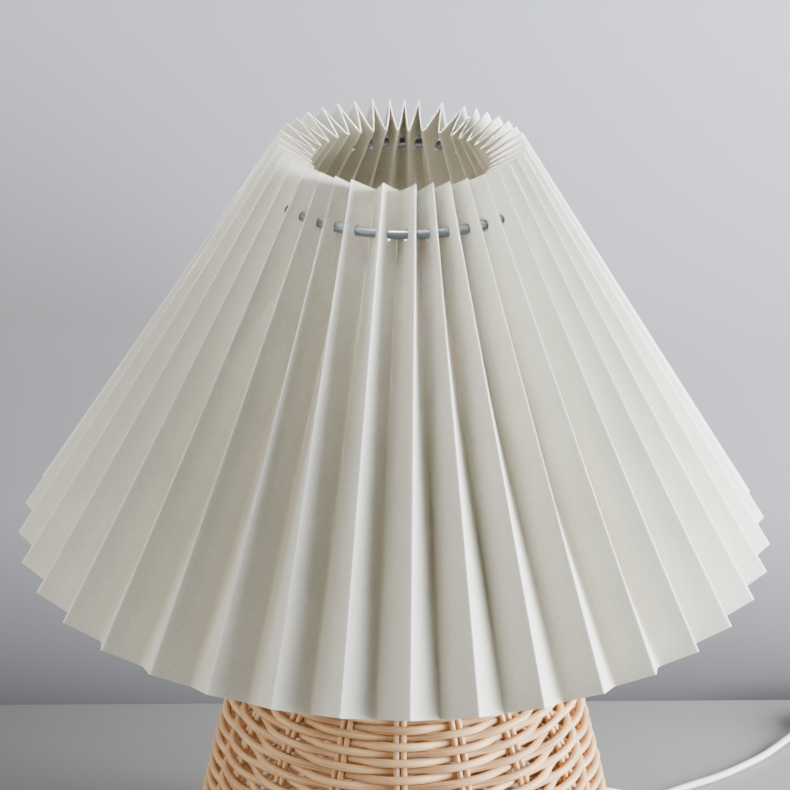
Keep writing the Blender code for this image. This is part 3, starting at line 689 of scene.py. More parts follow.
class LAMP_OT_shade(bpy.types.Operator):
    """Fold one sheet of linen into pleats, punch it and hang it on its ring"""

    bl_idname = "lamp.shade"
    bl_label = "Pleated Shade"

    def execute(self, context):
        settings = context.scene.lamp_shade
        top = settings.bottom_height + settings.height
        low = rim_folds(settings.bottom_radius, settings.bottom_height, BOTTOM_DRIFT)
        high = rim_folds(settings.top_radius, top, TOP_DRIFT, TOP_OPENINGS)
        places = [*PLEAT_PLACES, 0, *(-p for p in reversed(PLEAT_PLACES[1:]))]
        columns = settings.pleats * len(places)
        bm = bmesh.new()
        bmesh.ops.create_grid(bm, x_segments=columns, y_segments=SHEET_ROWS, size=0.5)
        slant = math.hypot(settings.bottom_radius - settings.top_radius, settings.height)
        girth = 2 * settings.face * settings.pleats
        layer = bm.loops.layers.uv.new("UVMap")
        for face in bm.faces:
            for corner in face.loops:
                spot = corner.vert.co
                column = round((spot.x + 0.5) * columns)
                share = (places[column % len(places)] + 1) / 2 + column // len(places)
                corner[layer].uv = (share / settings.pleats * girth, (spot.y + 0.5) * slant)
        for vert in bm.verts:
            column = round((vert.co.x + 0.5) * columns)
            pleat, place = divmod(column, len(places))
            vert.co = pleat_point(low, high, vert.co.y + 0.5, pleat, places[place])
        hang = leaned(middle(RING_LOW, RING_HIGH))
        bmesh.ops.transform(bm, matrix=hang, verts=bm.verts)
        sheet = settled(bm, "pleated_sheet", linen(), sharp=60.0)
        wall = sheet.modifiers.new("thickness", "SOLIDIFY")
        wall.thickness = settings.thickness
        wall.offset = 0.0
        wall.use_even_offset = True
        ring_z = middle(RING_LOW, RING_HIGH).z
        ring_radius = RING_HIGH.x - settings.rod_radius
        punch = spun(
            ring_outline(ring_radius, ring_z, settings.hole_radius), HOLE_STEPS, "punch", linen()
        )
        punch.data.transform(hang)
        cut = sheet.modifiers.new("holes", "BOOLEAN")
        cut.operation = "DIFFERENCE"
        cut.solver = "EXACT"
        cut.object = punch
        sheet = applied(sheet, sharp=50.0)
        bpy.data.objects.remove(punch)
        rod_outline = ring_outline(ring_radius, ring_z, settings.rod_radius, 16)
        rod = spun(rod_outline, ROD_STEPS, "hanging_ring", grey_rod())
        rod.data.transform(hang)
        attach(sheet, "shade")
        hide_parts("shade_sheet")
        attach(rod, "shade")
        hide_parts("shade_ring")
        return {"FINISHED"}


# ---------------------------------------------------------------- the woven body
# outer outline of the body, from the foot up: (radius, height)
BODY_OUTLINE = (
    (0.1003, 0.0100),
    (0.1035, 0.0200),
    (0.1075, 0.0450),
    (0.1055, 0.0700),
    (0.1020, 0.0870),
    (0.0988, 0.1020),
    (0.0945, 0.1200),
    (0.0912, 0.1320),
    (0.0885, 0.1390),
    (0.0810, 0.1550),
    (0.0730, 0.1690),
    (0.0620, 0.1820),
    (0.0470, 0.1950),
    (0.0345, 0.2025),
)
PAIR_FRONT = math.radians(268.6)  # the pair of stakes nearest the viewer
PAIR_GAP = 0.0034  # between the middles of a pair's two rods
WEAVER_STEPS = 9  # points on the weaver from one pair to the next
STAKE_STEPS = 90
ROPE_STEPS = 12  # points on a border's strand in one twist

# each border, its node, how far in from the node's edge its middle lies, how far its strands lie
# from that middle, half a strand's thickness, and how often the strands twist on the way round
BORDERS = (
    ("foot_border", "foot_rim", 0.0056, 0.0029, 0.0026, 34),
    ("neck_border", "neck_rim", 0.0033, 0.0018, 0.0016, 14),
)


def body_side():
    """The middle of the wall from foot to neck: places, outward directions and distances along."""
    settings = bpy.context.scene.lamp_weave
    line = smooth_route([Vector((r, z, 0.0)) for r, z in BODY_OUTLINE], 0.001)
    inset = settings.reach + settings.weaver_radius
    places, outward, run = [], [], [0.0]
    for k, spot in enumerate(line):
        along = (line[min(k + 1, len(line) - 1)] - line[max(k - 1, 0)]).normalized()
        out = Vector((along.y, -along.x, 0.0))
        outward.append(out)
        places.append(spot - out * inset)
    for a, b in zip(places, places[1:]):
        run.append(run[-1] + (b - a).length)
    return np.array(run), np.array(places)[:, :2], np.array(outward)[:, :2]


def on_wall(side, distance, azimuth, off=0.0, sideways=0.0):
    """A point off the wall's middle by off, at a distance up its side."""
    run, places, outward = side
    radius, height = (np.interp(distance, run, places[:, i]) for i in (0, 1))
    out_r, out_z = (np.interp(distance, run, outward[:, i]) for i in (0, 1))
    size = math.hypot(out_r, out_z)
    radius += off * out_r / size
    height += off * out_z / size
    turn = azimuth + sideways / max(radius, 0.01)
    return Vector((radius * math.cos(turn), radius * math.sin(turn), height))


def weaver_points(side):
    """One strand that spirals up the wall, outside one pair of stakes and inside the next."""
    settings = bpy.context.scene.lamp_weave
    total = side[0][-1]
    turns = total / settings.row_pitch
    points, radii = [], []
    for k in range(int(turns * settings.stakes * WEAVER_STEPS) + 1):
        swing = k / WEAVER_STEPS  # counted in pairs of stakes
        azimuth = math.tau * swing / settings.stakes
        up = settings.row_pitch * swing / settings.stakes
        radius = float(np.interp(up, side[0], side[1][:, 0]))
        spacing = math.tau * radius / settings.stakes
        crowd = min(1.0, 2 * PAIR_GAP / spacing)
        firm = 0.35 + 3.0 * crowd
        over = math.tanh(firm * math.cos(math.pi * swing)) / math.tanh(firm)
        spot = (math.cos(azimuth) * 3.0, math.sin(azimuth) * 3.0, up * 60.0)
        lift = wander(settings.unevenness, *spot)
        lift += wander(0.00022, swing * 0.31, up * 700.0, 4.0)
        bulge = wander(0.0005, spot[0] * 1.4, spot[1] * 1.4, up * 90.0)
        distance = min(max(up + lift, 0.0), total)
        points.append(on_wall(side, distance, PAIR_FRONT + azimuth, over * settings.reach + bulge))
        radii.append(1.0 + wander(0.09, swing * 0.23, 2.0, up * 30.0))
    return points, radii


def stake_points(side, pair, rod):
    """One upright rod of a pair, bent a little by the rows that it passes."""
    settings = bpy.context.scene.lamp_weave
    azimuth = PAIR_FRONT + math.tau * pair / settings.stakes
    points = []
    for k in range(STAKE_STEPS + 1):
        up = side[0][-1] * k / STAKE_STEPS
        sway = wander(0.0012, pair * 2.7, up * 22.0, rod * 0.4)
        off = wander(0.0005, pair * 1.9 + rod, up * 60.0, 3.0)
        points.append(on_wall(side, up, azimuth, off, (rod - 0.5) * PAIR_GAP + sway))
    return points


def rope_ring(name, radius, height, spread_by, strand_radius, twists):
    """A ring of three strands laid round each other, as a wale finishes a basket."""
    data = strand_data(name, strand_radius)
    steps = twists * ROPE_STEPS
    for third in range(3):
        points = []
        for k in range(steps):
            turn = math.tau * k / steps
            lay = turn * twists + math.tau * third / 3
            reach = radius + spread_by * math.cos(lay)
            rise = height + spread_by * math.sin(lay)
            points.append(Vector((reach * math.cos(turn), reach * math.sin(turn), rise)))
        strand(data, points, closed=True)
    return strand_piece(data, name, rattan(), math.tau * radius, strand_radius)


class LAMP_OT_woven_body(bpy.types.Operator):
    """Set up the stakes, weave one long strand through them and bind foot and neck"""

    bl_idname = "lamp.woven_body"
    bl_label = "Woven Body"

    def execute(self, context):
        settings = context.scene.lamp_weave
        side = body_side()
        points, radii = weaver_points(side)
        data = strand_data("weaver", settings.weaver_radius)
        strand(data, points, radii)
        weaver = strand_piece(data, "weaver", rattan(), length_of(points), settings.weaver_radius)
        data = strand_data("stakes", settings.stake_radius)
        for pair in range(settings.stakes):
            for rod in range(2):
                strand(data, stake_points(side, pair, rod))
        stakes = strand_piece(data, "stakes", rattan(), side[0][-1], settings.stake_radius)
        woven = [(weaver, "woven_body"), (stakes, "woven_body")]
        for name, node, inset, *lay in BORDERS:
            low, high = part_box(node)
            woven.append((rope_ring(name, high.x - inset, middle(low, high).z, *lay), node))
        for piece, node in woven:
            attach(piece, "base")
            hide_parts(node)
        return {"FINISHED"}


# ---------------------------------------------------------------- lamp holder and bulb
def thread_outline(radius, low, high, pitch, depth):
    """The outer side of a threaded piece, from the top down, as rounded ridges."""
    count = max(1, int((high - low) / pitch))
    steps = 4
    points = []
    for k in range(count * steps + 1):
        height = high - (high - low) * k / (count * steps)
        points.append((radius - depth * (0.5 - 0.5 * math.cos(math.tau * k / steps)), height))
    return points


class LAMP_OT_lamp_holder(bpy.types.Operator):
    """Turn the threaded lamp holder with its cap, and the ribbed ring nut on it"""

    bl_idname = "lamp.lamp_holder"
    bl_label = "Lamp Holder"

    def execute(self, context):
        settings = context.scene.lamp_holder
        plastic = white_plastic()
        inner = 0.0165
        flange_top = HOLDER_LOW.z + 0.0030
        outer = HOLDER_HIGH.x
        barrel = 0.0190
        side = thread_outline(
            barrel, flange_top + 0.0060, HOLDER_HIGH.z - 0.002, settings.thread_pitch, 0.0008
        )
        body = spun(
            [
                (inner, HOLDER_HIGH.z),
                (barrel - 0.0010, HOLDER_HIGH.z),
                *side,
                (barrel - 0.0006, flange_top),
                (outer - 0.0005, flange_top),
                (outer, flange_top - 0.0005),
                (outer, HOLDER_LOW.z),
                (inner, HOLDER_LOW.z),
            ],
            96,
            "holder_barrel",
            plastic,
        )
        cap_low, cap_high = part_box("holder_cap")
        cap = spun(
            [
                (outer - 0.0025, cap_high.z),
                (outer - 0.0004, cap_high.z),
                (outer, cap_high.z - 0.0004),
                (outer, cap_high.z - 0.0040),
                (0.0218, cap_low.z + 0.0088),
                (0.0190, cap_low.z + 0.0046),
                (0.0150, cap_low.z + 0.0016),
                (0.0110, cap_low.z),
                (0.0053, cap_low.z),
                (0.0053, cap_low.z + 0.0045),
                (0.0185, cap_low.z + 0.0085),
                (0.0215, cap_high.z - 0.0040),
            ],
            96,
            "holder_bowl",
            plastic,
            25.0,
        )
        for piece, node in ((body, "holder_body"), (cap, "holder_cap")):
            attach(piece, "base")
            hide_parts(node)
        nut = self.ring_nut(settings, plastic)
        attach(nut, "ring_nut")
        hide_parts("shade_ring_nut")
        return {"FINISHED"}

    def ring_nut(self, settings, plastic):
        """A ring whose outer side stands out in grip ribs."""
        low, high = RING_NUT_LOW.z, RING_NUT_HIGH.z
        outer = RING_NUT_HIGH.x - 0.0008
        outline = [
            (0.0196, high),
            (outer - 0.0006, high),
            (outer, high - 0.0006),
            (outer, low + 0.0016),
            (outer - 0.0014, low),
            (0.0196, low),
        ]
        nut = spun(outline, settings.ribs * 4, "ribbed_ring_nut", plastic)
        bm = bmesh.new()
        bm.from_mesh(nut.data)
        quarter = math.tau / (settings.ribs * 4)
        grips = []
        for face in bm.faces:
            spot = face.calc_center_median()
            step = round(math.atan2(spot.y, spot.x) / quarter - 0.5)
            upright = abs(face.normal.z) < 0.1 and spot.xy.length > outer - 0.0004
            if upright and step % 4 in (0, 1):
                grips.append(face)
        raised = bmesh.ops.extrude_face_region(bm, geom=grips)["geom"]
        corners = [v for v in raised if isinstance(v, bmesh.types.BMVert)]
        for corner in corners:
            corner.co.xy *= (outer + 0.0007) / corner.co.xy.length
        bmesh.ops.delete(bm, geom=grips, context="FACES")
        bpy.data.objects.remove(nut)
        return settled(bm, "ribbed_ring_nut", plastic)


class LAMP_OT_bulb(bpy.types.Operator):
    """Turn the opal globe and its screw cap"""

    bl_idname = "lamp.bulb"
    bl_label = "Bulb"

    def execute(self, context):
        radius = GLOBE_HIGH.x
        neck = 0.0126
        wall = 0.0009
        ball = GLOBE_HIGH.z - radius
        outer = self.globe_side(radius, neck, ball, 0.0)
        inner = self.globe_side(radius, neck, ball, wall)
        globe = spun(outer + inner[::-1], 96, "opal_globe", opal_glass(), 50.0)
        cap_low, cap_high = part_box("bulb_cap")
        side = thread_outline(cap_high.x, cap_low.z + 0.0050, cap_high.z - 0.0035, 0.0036, 0.0009)
        cap = spun(
            [
                (0.0, cap_high.z),
                (neck - 0.0010, cap_high.z),
                (neck, cap_high.z - 0.0008),
                *side,
                (0.0108, cap_low.z + 0.0026),
                (0.0096, cap_low.z),
                (0.0, cap_low.z),
            ],
            72,
            "screw_cap",
            plated_steel(),
            50.0,
        )
        for piece, node, slot in (
            (globe, "bulb_globe", "opal_glass"),
            (cap, "bulb_cap", "steel"),
        ):
            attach(piece, "bulb")
            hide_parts(node)
        return {"FINISHED"}

    def globe_side(self, radius, neck, ball, inset):
        """One side of the glass wall, from its crown to its open neck."""
        arc = 20
        side = []
        for k in range(arc + 1):
            turn = math.pi / 2 * (1 - k / arc)
            side.append(((radius - inset) * math.cos(turn), ball + (radius - inset) * math.sin(turn)))
        side[0] = (0.0, side[0][1])
        foot = GLOBE_LOW.z + 0.0100
        swell = 14
        for k in range(swell - 1, 0, -1):
            share = k / swell
            ease = share * share * (3 - 2 * share)
            side.append((neck - inset + ease * (radius - neck), foot + share * (ball - foot)))
        return side + [(neck - inset, foot), (neck - inset, GLOBE_LOW.z)]


# ---------------------------------------------------------------- lead, switch and plug
EXIT_AZIMUTH = math.radians(40.0)
EXIT_Z = 0.0220
LEAD_START = 0.1301  # how far from the axis the lead leaves its strain relief
GLAND_FLANGE = 0.1058  # and where the strain relief leaves the body
LEAD_Z = 0.0022
SWITCH_START = Vector((0.2405, 0.1775, 0.0075))
SWITCH_HEADING = math.radians(15.0)
SWITCH_LENGTH = 0.0620
SWITCH_WIDTH = 0.0240
COIL_RADIUS = 0.0240  # middle of the turns
COIL_REACH = 0.0348  # where a lead runs beside the coil
PLUG_REAR = Vector((0.2975, 0.0922, 0.0069))


def exit_point(radius, height=EXIT_Z):
    """A point on the line along which the lead leaves the body."""
    return Vector((radius * math.cos(EXIT_AZIMUTH), radius * math.sin(EXIT_AZIMUTH), height))


def switch_direction():
    return Vector((math.cos(SWITCH_HEADING), math.sin(SWITCH_HEADING), 0.0))


def lead_to_switch():
    """The seen stretch: out of the gland, down to the table and on to the switch."""
    along = switch_direction()
    return [
        exit_point(LEAD_START),
        exit_point(0.1381, 0.0205),
        Vector((0.1185, 0.0975, 0.0130)),
        Vector((0.1280, 0.1035, 0.0062)),
        Vector((0.1390, 0.1090, 0.0028)),
        Vector((0.1570, 0.1195, LEAD_Z)),
        Vector((0.1790, 0.1315, LEAD_Z)),
        Vector((0.2028, 0.1495, LEAD_Z)),
        Vector((0.2190, 0.1650, 0.0036)),
        SWITCH_START - along * 0.0080,
        SWITCH_START - along * TOUCH,
    ]


def lead_to_coil():
    """Out of the switch's other end and round to the side of the coil."""
    along = switch_direction()
    end = SWITCH_START + along * (SWITCH_LENGTH + TOUCH)
    return [
        end,
        end + along * 0.0080,
        Vector((0.3210, 0.1965, 0.0034)),
        Vector((0.3330, 0.1935, LEAD_Z)),
        Vector((0.3450, 0.1862, LEAD_Z)),
        Vector((0.3540, 0.1750, LEAD_Z)),
        Vector((0.3585, 0.1630, LEAD_Z)),
    ]


def lead_to_plug():
    """Off the coil and into the rear of the plug."""
    return [
        Vector((0.3130, 0.1140, 0.0034)),
        Vector((0.3045, 0.1100, 0.0042)),
        PLUG_REAR + Vector((0.0, 0.0080, 0.0)),
        PLUG_REAR + Vector((0.0, TOUCH, 0.0)),
    ]


# the turns' order in the coil: sideways and upwards from its middle, in steps of one thickness
COIL_LAY = (
    (1.5, -0.87),
    (0.5, -0.87),
    (-0.5, -0.87),
    (-1.5, -0.87),
    (-1.0, 0.0),
    (0.0, 0.0),
    (-0.5, 0.87),
    (0.5, 0.87),
    (1.0, 0.0),
    (1.5, 0.87),
)


COIL_STEPS = 24  # points in one turn
CROSSING = 0.80  # share of a turn after which the lead crosses to its next place
LEAD_IN, LEAD_OUT = 4, 3  # points over which the lead joins the coil and leaves it
LEAVING_Z = 0.0060  # height at which it leaves


def coil_turns(diameter, turns):
    """The stored lead: turns that lie beside and on each other, wound clockwise from above."""
    centre = middle(COIL_LOW, COIL_HIGH)
    pitch = diameter * 1.03
    last = round((turns - 0.75) * COIL_STEPS)
    points = []
    for k in range(1, last + 1):
        turn, part = divmod(k, COIL_STEPS)
        here = Vector(COIL_LAY[turn % len(COIL_LAY)])
        after = Vector(COIL_LAY[(turn + 1) % len(COIL_LAY)])
        shift = min(1.0, max(0.0, (part / COIL_STEPS - CROSSING) / (1 - CROSSING)))
        shift = shift * shift * (3 - 2 * shift)
        lay = here.lerp(after, shift) * pitch
        angle = -math.tau * k / COIL_STEPS
        reach = COIL_RADIUS + lay.x
        rise = centre.z + lay.y
        if k < LEAD_IN:
            reach += (COIL_REACH - reach) * (1 - k / LEAD_IN)
            rise += (LEAD_Z - rise) * (1 - k / LEAD_IN)
        if k > last - LEAD_OUT:
            leave = (k - last + LEAD_OUT) / LEAD_OUT
            reach += (COIL_REACH - reach) * leave
            rise += (LEAVING_Z - rise) * leave
        points.append(
            Vector((centre.x + reach * math.cos(angle), centre.y + reach * math.sin(angle), rise))
        )
    return points


class LAMP_OT_lead(bpy.types.Operator):
    """Run the white lead from the body through its switch, coil the rest and end it in the plug"""

    bl_idname = "lamp.lead"
    bl_label = "Lead"

    def execute(self, context):
        settings = context.scene.lamp_lead
        route = smooth_route(
            [
                *lead_to_switch(),
                *lead_to_coil(),
                *coil_turns(settings.diameter, settings.turns),
                *lead_to_plug(),
            ],
            0.004,
        )
        data = strand_data("lead", settings.diameter / 2, 4)
        strand(data, route)
        lead = strand_piece(data, "lead", white_sheath(), length_of(route), settings.diameter / 2)
        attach(lead, "base")
        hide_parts("cord_to_switch", "cord_to_coil", "cord_coil", "cord_to_plug")
        tie = self.coil_tie()
        self.gland()
        shells, screws = self.switch()
        plug = self.plug()
        pins = self.pins()
        return {"FINISHED"}

    def coil_tie(self):
        """A flat white band round the turns."""
        low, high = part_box("coil_tie")
        centre = middle(COIL_LOW, COIL_HIGH)
        turn = math.radians(200.0)
        spot = centre + COIL_RADIUS * Vector((math.cos(turn), math.sin(turn), 0.0))
        bm = bmesh.new()
        half_width, half_height = 0.0092, (high.z - low.z) / 2 - 0.0004
        band_width = 0.0070
        squareness = 0.55  # 1 is an oval, 0 a square
        bmesh.ops.create_circle(bm, segments=32, radius=1.0)
        for vert in bm.verts:
            x, y = vert.co.x, vert.co.y
            vert.co.x = math.copysign(abs(x) ** squareness, x) * half_width
            vert.co.y = math.copysign(abs(y) ** squareness, y) * half_height
        edges = bmesh.ops.extrude_edge_only(bm, edges=bm.edges)["geom"]
        moved = [v for v in edges if isinstance(v, bmesh.types.BMVert)]
        bmesh.ops.translate(bm, vec=(0, 0, band_width), verts=moved)
        bmesh.ops.translate(bm, vec=(0, 0, -band_width / 2), verts=bm.verts)
        stand = Matrix.Rotation(math.pi / 2, 4, "X")
        place = Matrix.Translation(spot) @ Matrix.Rotation(turn, 4, "Z") @ stand
        bmesh.ops.transform(bm, matrix=place, verts=bm.verts)
        bmesh.ops.recalc_face_normals(bm, faces=bm.faces)
        mesh = bpy.data.meshes.new("tie_band")
        bm.to_mesh(mesh)
        bm.free()
        band = add_piece(mesh, "tie_band", white_plastic())
        wall = band.modifiers.new("thickness", "SOLIDIFY")
        wall.thickness = 0.0007
        wall.offset = 0.0
        edge = band.modifiers.new("edge", "BEVEL")
        edge.width = 0.0002
        edge.segments = 2
        band = applied(band, sharp=40.0)
        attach(band, "base")
        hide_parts("coil_tie")
        return band

    def gland(self):
        """The strain relief: a flange and a taper with grooves that let it flex."""
        outline = [(0.0, 0.0242), (0.0030, 0.0242), (0.0032, 0.0238)]
        grooves = 7
        for k in range(grooves):
            high = 0.0228 - k * 0.0029
            radius = 0.0033 + (0.0240 - high) * 0.085
            outline += [
                (radius, high),
                (radius + 0.0001, high - 0.0016),
                (radius - 0.0007, high - 0.0018),
                (radius - 0.0007, high - 0.0026),
            ]
        outline += [
            (0.0052, 0.0020),
            (0.0074, 0.0020),
            (0.0078, 0.0016),
            (0.0078, 0.0),
            (0.0048, 0.0),
            (0.0048, -0.0208),
            (0.0, -0.0208),
        ]
        gland = spun(outline, 48, "strain_relief", white_plastic(), 30.0)
        outward = Matrix.Rotation(EXIT_AZIMUTH, 4, "Z") @ Matrix.Rotation(math.pi / 2, 4, "Y")
        gland.data.transform(Matrix.Translation(exit_point(GLAND_FLANGE)) @ outward)
        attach(gland, "base")
        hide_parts("cord_gland")

    def switch(self):
        """Two rounded shells with a parting line, the window for the rocker, and two screws."""
        start = Matrix.Translation((SWITCH_START.x, SWITCH_START.y, 0.0))
        place = start @ Matrix.Rotation(SWITCH_HEADING, 4, "Z")
        upper_low, upper_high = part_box("switch_upper")
        split = upper_low.z - TOUCH / 2
        top = upper_high.z
        half_gap = 0.0001
        screw_inset = 0.0105
        shells = []
        for name, node, bottom, ceiling in (
            ("switch_base", "switch_lower", 0.0, split - half_gap),
            ("switch_cover", "switch_upper", split + half_gap, top),
        ):
            bm = bmesh.new()
            bmesh.ops.create_cube(bm, size=1.0)
            size = (SWITCH_LENGTH, SWITCH_WIDTH, ceiling - bottom)
            bmesh.ops.scale(bm, vec=size, verts=bm.verts)
            lift = (SWITCH_LENGTH / 2, 0.0, (bottom + ceiling) / 2)
            bmesh.ops.translate(bm, vec=lift, verts=bm.verts)
            upright = [e for e in bm.edges if abs((e.verts[0].co - e.verts[1].co).z) > 0.001]
            bmesh.ops.bevel(
                bm, geom=upright, offset=0.0090, segments=10, profile=0.5, affect="EDGES", material=-1
            )
            far = ceiling if node == "switch_upper" else bottom
            rim = [e for e in bm.edges if all(abs(v.co.z - far) < 1e-6 for v in e.verts)]
            bmesh.ops.bevel(
                bm, geom=rim, offset=0.0026, segments=5, profile=0.5, affect="EDGES", material=-1
            )
            shell = settled(bm, name, white_plastic(), 40.0)
            if node == "switch_upper":
                window = self.block((0.0192, 0.0124, 0.0120), (SWITCH_LENGTH / 2, 0.0, top), 0.0010)
                cut = shell.modifiers.new("window", "BOOLEAN")
                cut.operation = "DIFFERENCE"
                cut.solver = "EXACT"
                cut.object = window
                shell = applied(shell, sharp=40.0)
                bpy.data.objects.remove(window)
            shell.data.transform(place)
            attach(shell, "base")
            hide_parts(node)
            shells.append(shell)
        bm = bmesh.new()
        for along in (screw_inset, SWITCH_LENGTH - screw_inset):
            bmesh.ops.create_cone(
                bm,
                cap_ends=True,
                segments=24,
                radius1=0.0023,
                radius2=0.0021,
                depth=0.0012,
                matrix=Matrix.Translation((along, 0.0, top - 0.0002)),
            )
        screws = settled(bm, "switch_screws", plated_steel())
        screws.data.transform(place)
        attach(screws, "base")
        return shells, screws

    def block(self, size, centre, corner):
        """A cutter with rounded edges."""
        bm = bmesh.new()
        bmesh.ops.create_cube(bm, size=1.0)
        bmesh.ops.scale(bm, vec=size, verts=bm.verts)
        bmesh.ops.translate(bm, vec=centre, verts=bm.verts)
        bmesh.ops.bevel(
            bm,
            geom=list(bm.edges),
            offset=corner,
            segments=3,
            profile=0.5,
            affect="EDGES",
            material=-1,
        )
        return settled(bm, "cutter", white_plastic())

    def plug(self):
        """A flat plug body, waisted behind its face, with grip ribs on its rear."""
        # how far from its rear each section lies, half its width and half its height
        sections = (
            (0.0000, 0.0040, 0.0040),
            (0.0030, 0.0044, 0.0043),
            (0.0036, 0.0038, 0.0037),
            (0.0052, 0.0040, 0.0039),
            (0.0058, 0.0048, 0.0047),
            (0.0088, 0.0053, 0.0050),
            (0.0120, 0.0078, 0.0058),
            (0.0160, 0.0122, 0.0063),
            (0.0210, 0.0158, 0.0066),
            (0.0260, 0.0172, 0.0066),
            (0.0345, 0.0176, 0.0066),
            (0.0360, 0.0170, 0.0060),
        )
        bm = bmesh.new()
        rings = []
        for back, half_width, half_height in sections:
            made = bmesh.ops.create_circle(bm, segments=48, radius=1.0)["verts"]
            square = min(1.0, back / 0.02)
            power = 1.0 - 0.42 * square
            for vert in made:
                x, y = vert.co.x, vert.co.y
                vert.co = Vector(
                    (
                        math.copysign(abs(x) ** power, x) * half_width,
                        -back,
                        math.copysign(abs(y) ** power, y) * half_height,
                    )
                )
            rings.append([e for e in bm.edges if e.verts[0] in made and e.verts[1] in made])
        for near, far in zip(rings, rings[1:]):
            bmesh.ops.bridge_loops(bm, edges=near + far)
        for end in (rings[0], rings[-1]):
            bmesh.ops.contextual_create(bm, geom=end)
        plug = settled(bm, "plug_shell", white_plastic(), 32.0)
        plug.data.transform(Matrix.Translation(PLUG_REAR))
        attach(plug, "base")
        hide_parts("plug_body")
        return plug

    def pins(self):
        """Round pins with their insulated sleeves."""
        pins = []
        for index in (1, 2):
            node = f"plug_pin_{index}"
            low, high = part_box(node)
            spot = middle(low, high)
            radius = (high.x - low.x) / 2
            long = high.y - low.y
            outline = [
                (0.0, long),
                (radius * 0.55, long - 0.0001),
                (radius * 0.88, long - 0.0008),
                (radius, long - 0.0020),
                (radius, 0.0),
                (0.0, 0.0),
            ]
            pin = spun(outline, 32, f"round_pin_{index}", plated_steel(), 40.0)
            sleeve = spun(
                [
                    (radius + 0.00005, 0.0100),
                    (radius + 0.00005, 0.0),
                    (radius - 0.0004, 0.0),
                    (radius - 0.0004, 0.0100),
                ],
                32,
                f"pin_sleeve_{index}",
                white_plastic(),
                40.0,
            )
            forward = Matrix.Rotation(math.pi / 2, 4, "X")
            stand = Matrix.Translation((spot.x, high.y, spot.z)) @ forward
            pin.data.transform(stand)
            sleeve.data.transform(stand)
            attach(pin, "base")
            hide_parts(node)
            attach(sleeve, "base")
            pins += [pin, sleeve]
        return pins


# ---------------------------------------------------------------- CAD nodes that stay
NODE_FINISHES = (
    (grey_felt, ("felt_pad",)),
    (plywood, ("base_plate",)),
    (
        plated_steel,
        ("tube_nut_lower", "plate_washer", "tube_nut_plate", "centre_tube", "neck_washer", "tube_nut_neck"),
    ),
    (white_plastic, ("neck_plate", "neck_spacer", "switch_rocker")),
    (ceramic, ("holder_insert",)),
    (brass, ("screw_shell", "centre_contact", "bulb_contact", "switch_bridge")),
    (grey_rod, ("shade_collar", "shade_arm_1", "shade_arm_2", "shade_arm_3")),
    (white_sheath, ("inner_lead",)),
)


class LAMP_OT_finishes(bpy.types.Operator):
    """Give the frame's own pieces their finishes"""

    bl_idname = "lamp.finishes"
    bl_label = "Frame Finishes"

    def execute(self, context):
        for finish, names in NODE_FINISHES:
            for name in names:
                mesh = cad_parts[name].data
                mesh.materials.clear()
                mesh.materials.append(finish())
        return {"FINISHED"}


# ---------------------------------------------------------------- table, wall, light and camera
TABLE_HALF = 6.0  # half the table's side
WALL_HALF = 3.0
WALL_MIDDLE_Z = 2.99  # so that the wall's foot is just under the table
ROOM_LIGHT = 0.04  # how much the room around lights the lamp
ROOM_SEEN = 0.45  # how bright it looks past the table and the wall
COOL, WARM = (0.91, 0.955, 1.0), (1.0, 0.98, 0.93)

# each soft light, where it stands, what it looks at, its size and its tone
LIGHTS = (
    ("window", (1.4, 0.0, 0.5), (0, 0, 0.3), (0.6, 0.9), COOL),
    ("key", (1.3, -0.35, 0.45), (0, 0, 0.3), (0.8, 0.8), COOL),
    ("fill", (-1.2, -1.2, 0.9), (0, 0, 0.2), (1.2, 1.2), WARM),
    ("side", (-1.5, -0.1, 0.6), (0, 0, 0.3), (0.8, 0.8), WARM),
    ("top", (0, -0.03, 1.2), (0, 0, 0.4), (0.1, 0.1), WARM),
)
TOP_SPREAD = math.radians(12.0)

CAMERA_PLACE = (0.0, -1.1526, 0.8468)
CAMERA_LENS = 123.04
CAMERA_DOWN = math.radians(25.284)
CAMERA_ASIDE = math.radians(-0.167)
CAMERA_ROLL = math.radians(-0.45)


def area_light(name, place, target, size, power, tone):
    """A rectangular soft light that looks at target."""
    lamp = bpy.data.lights.new(name, "AREA")
    lamp.shape = "RECTANGLE"
    lamp.size, lamp.size_y = size
    lamp.energy = power
    lamp.color = tone
    holder = bpy.data.objects.new(name, lamp)
    bpy.context.scene.collection.objects.link(holder)
    holder.location = place
    holder.rotation_euler = (Vector(target) - Vector(place)).to_track_quat("-Z", "Y").to_euler()


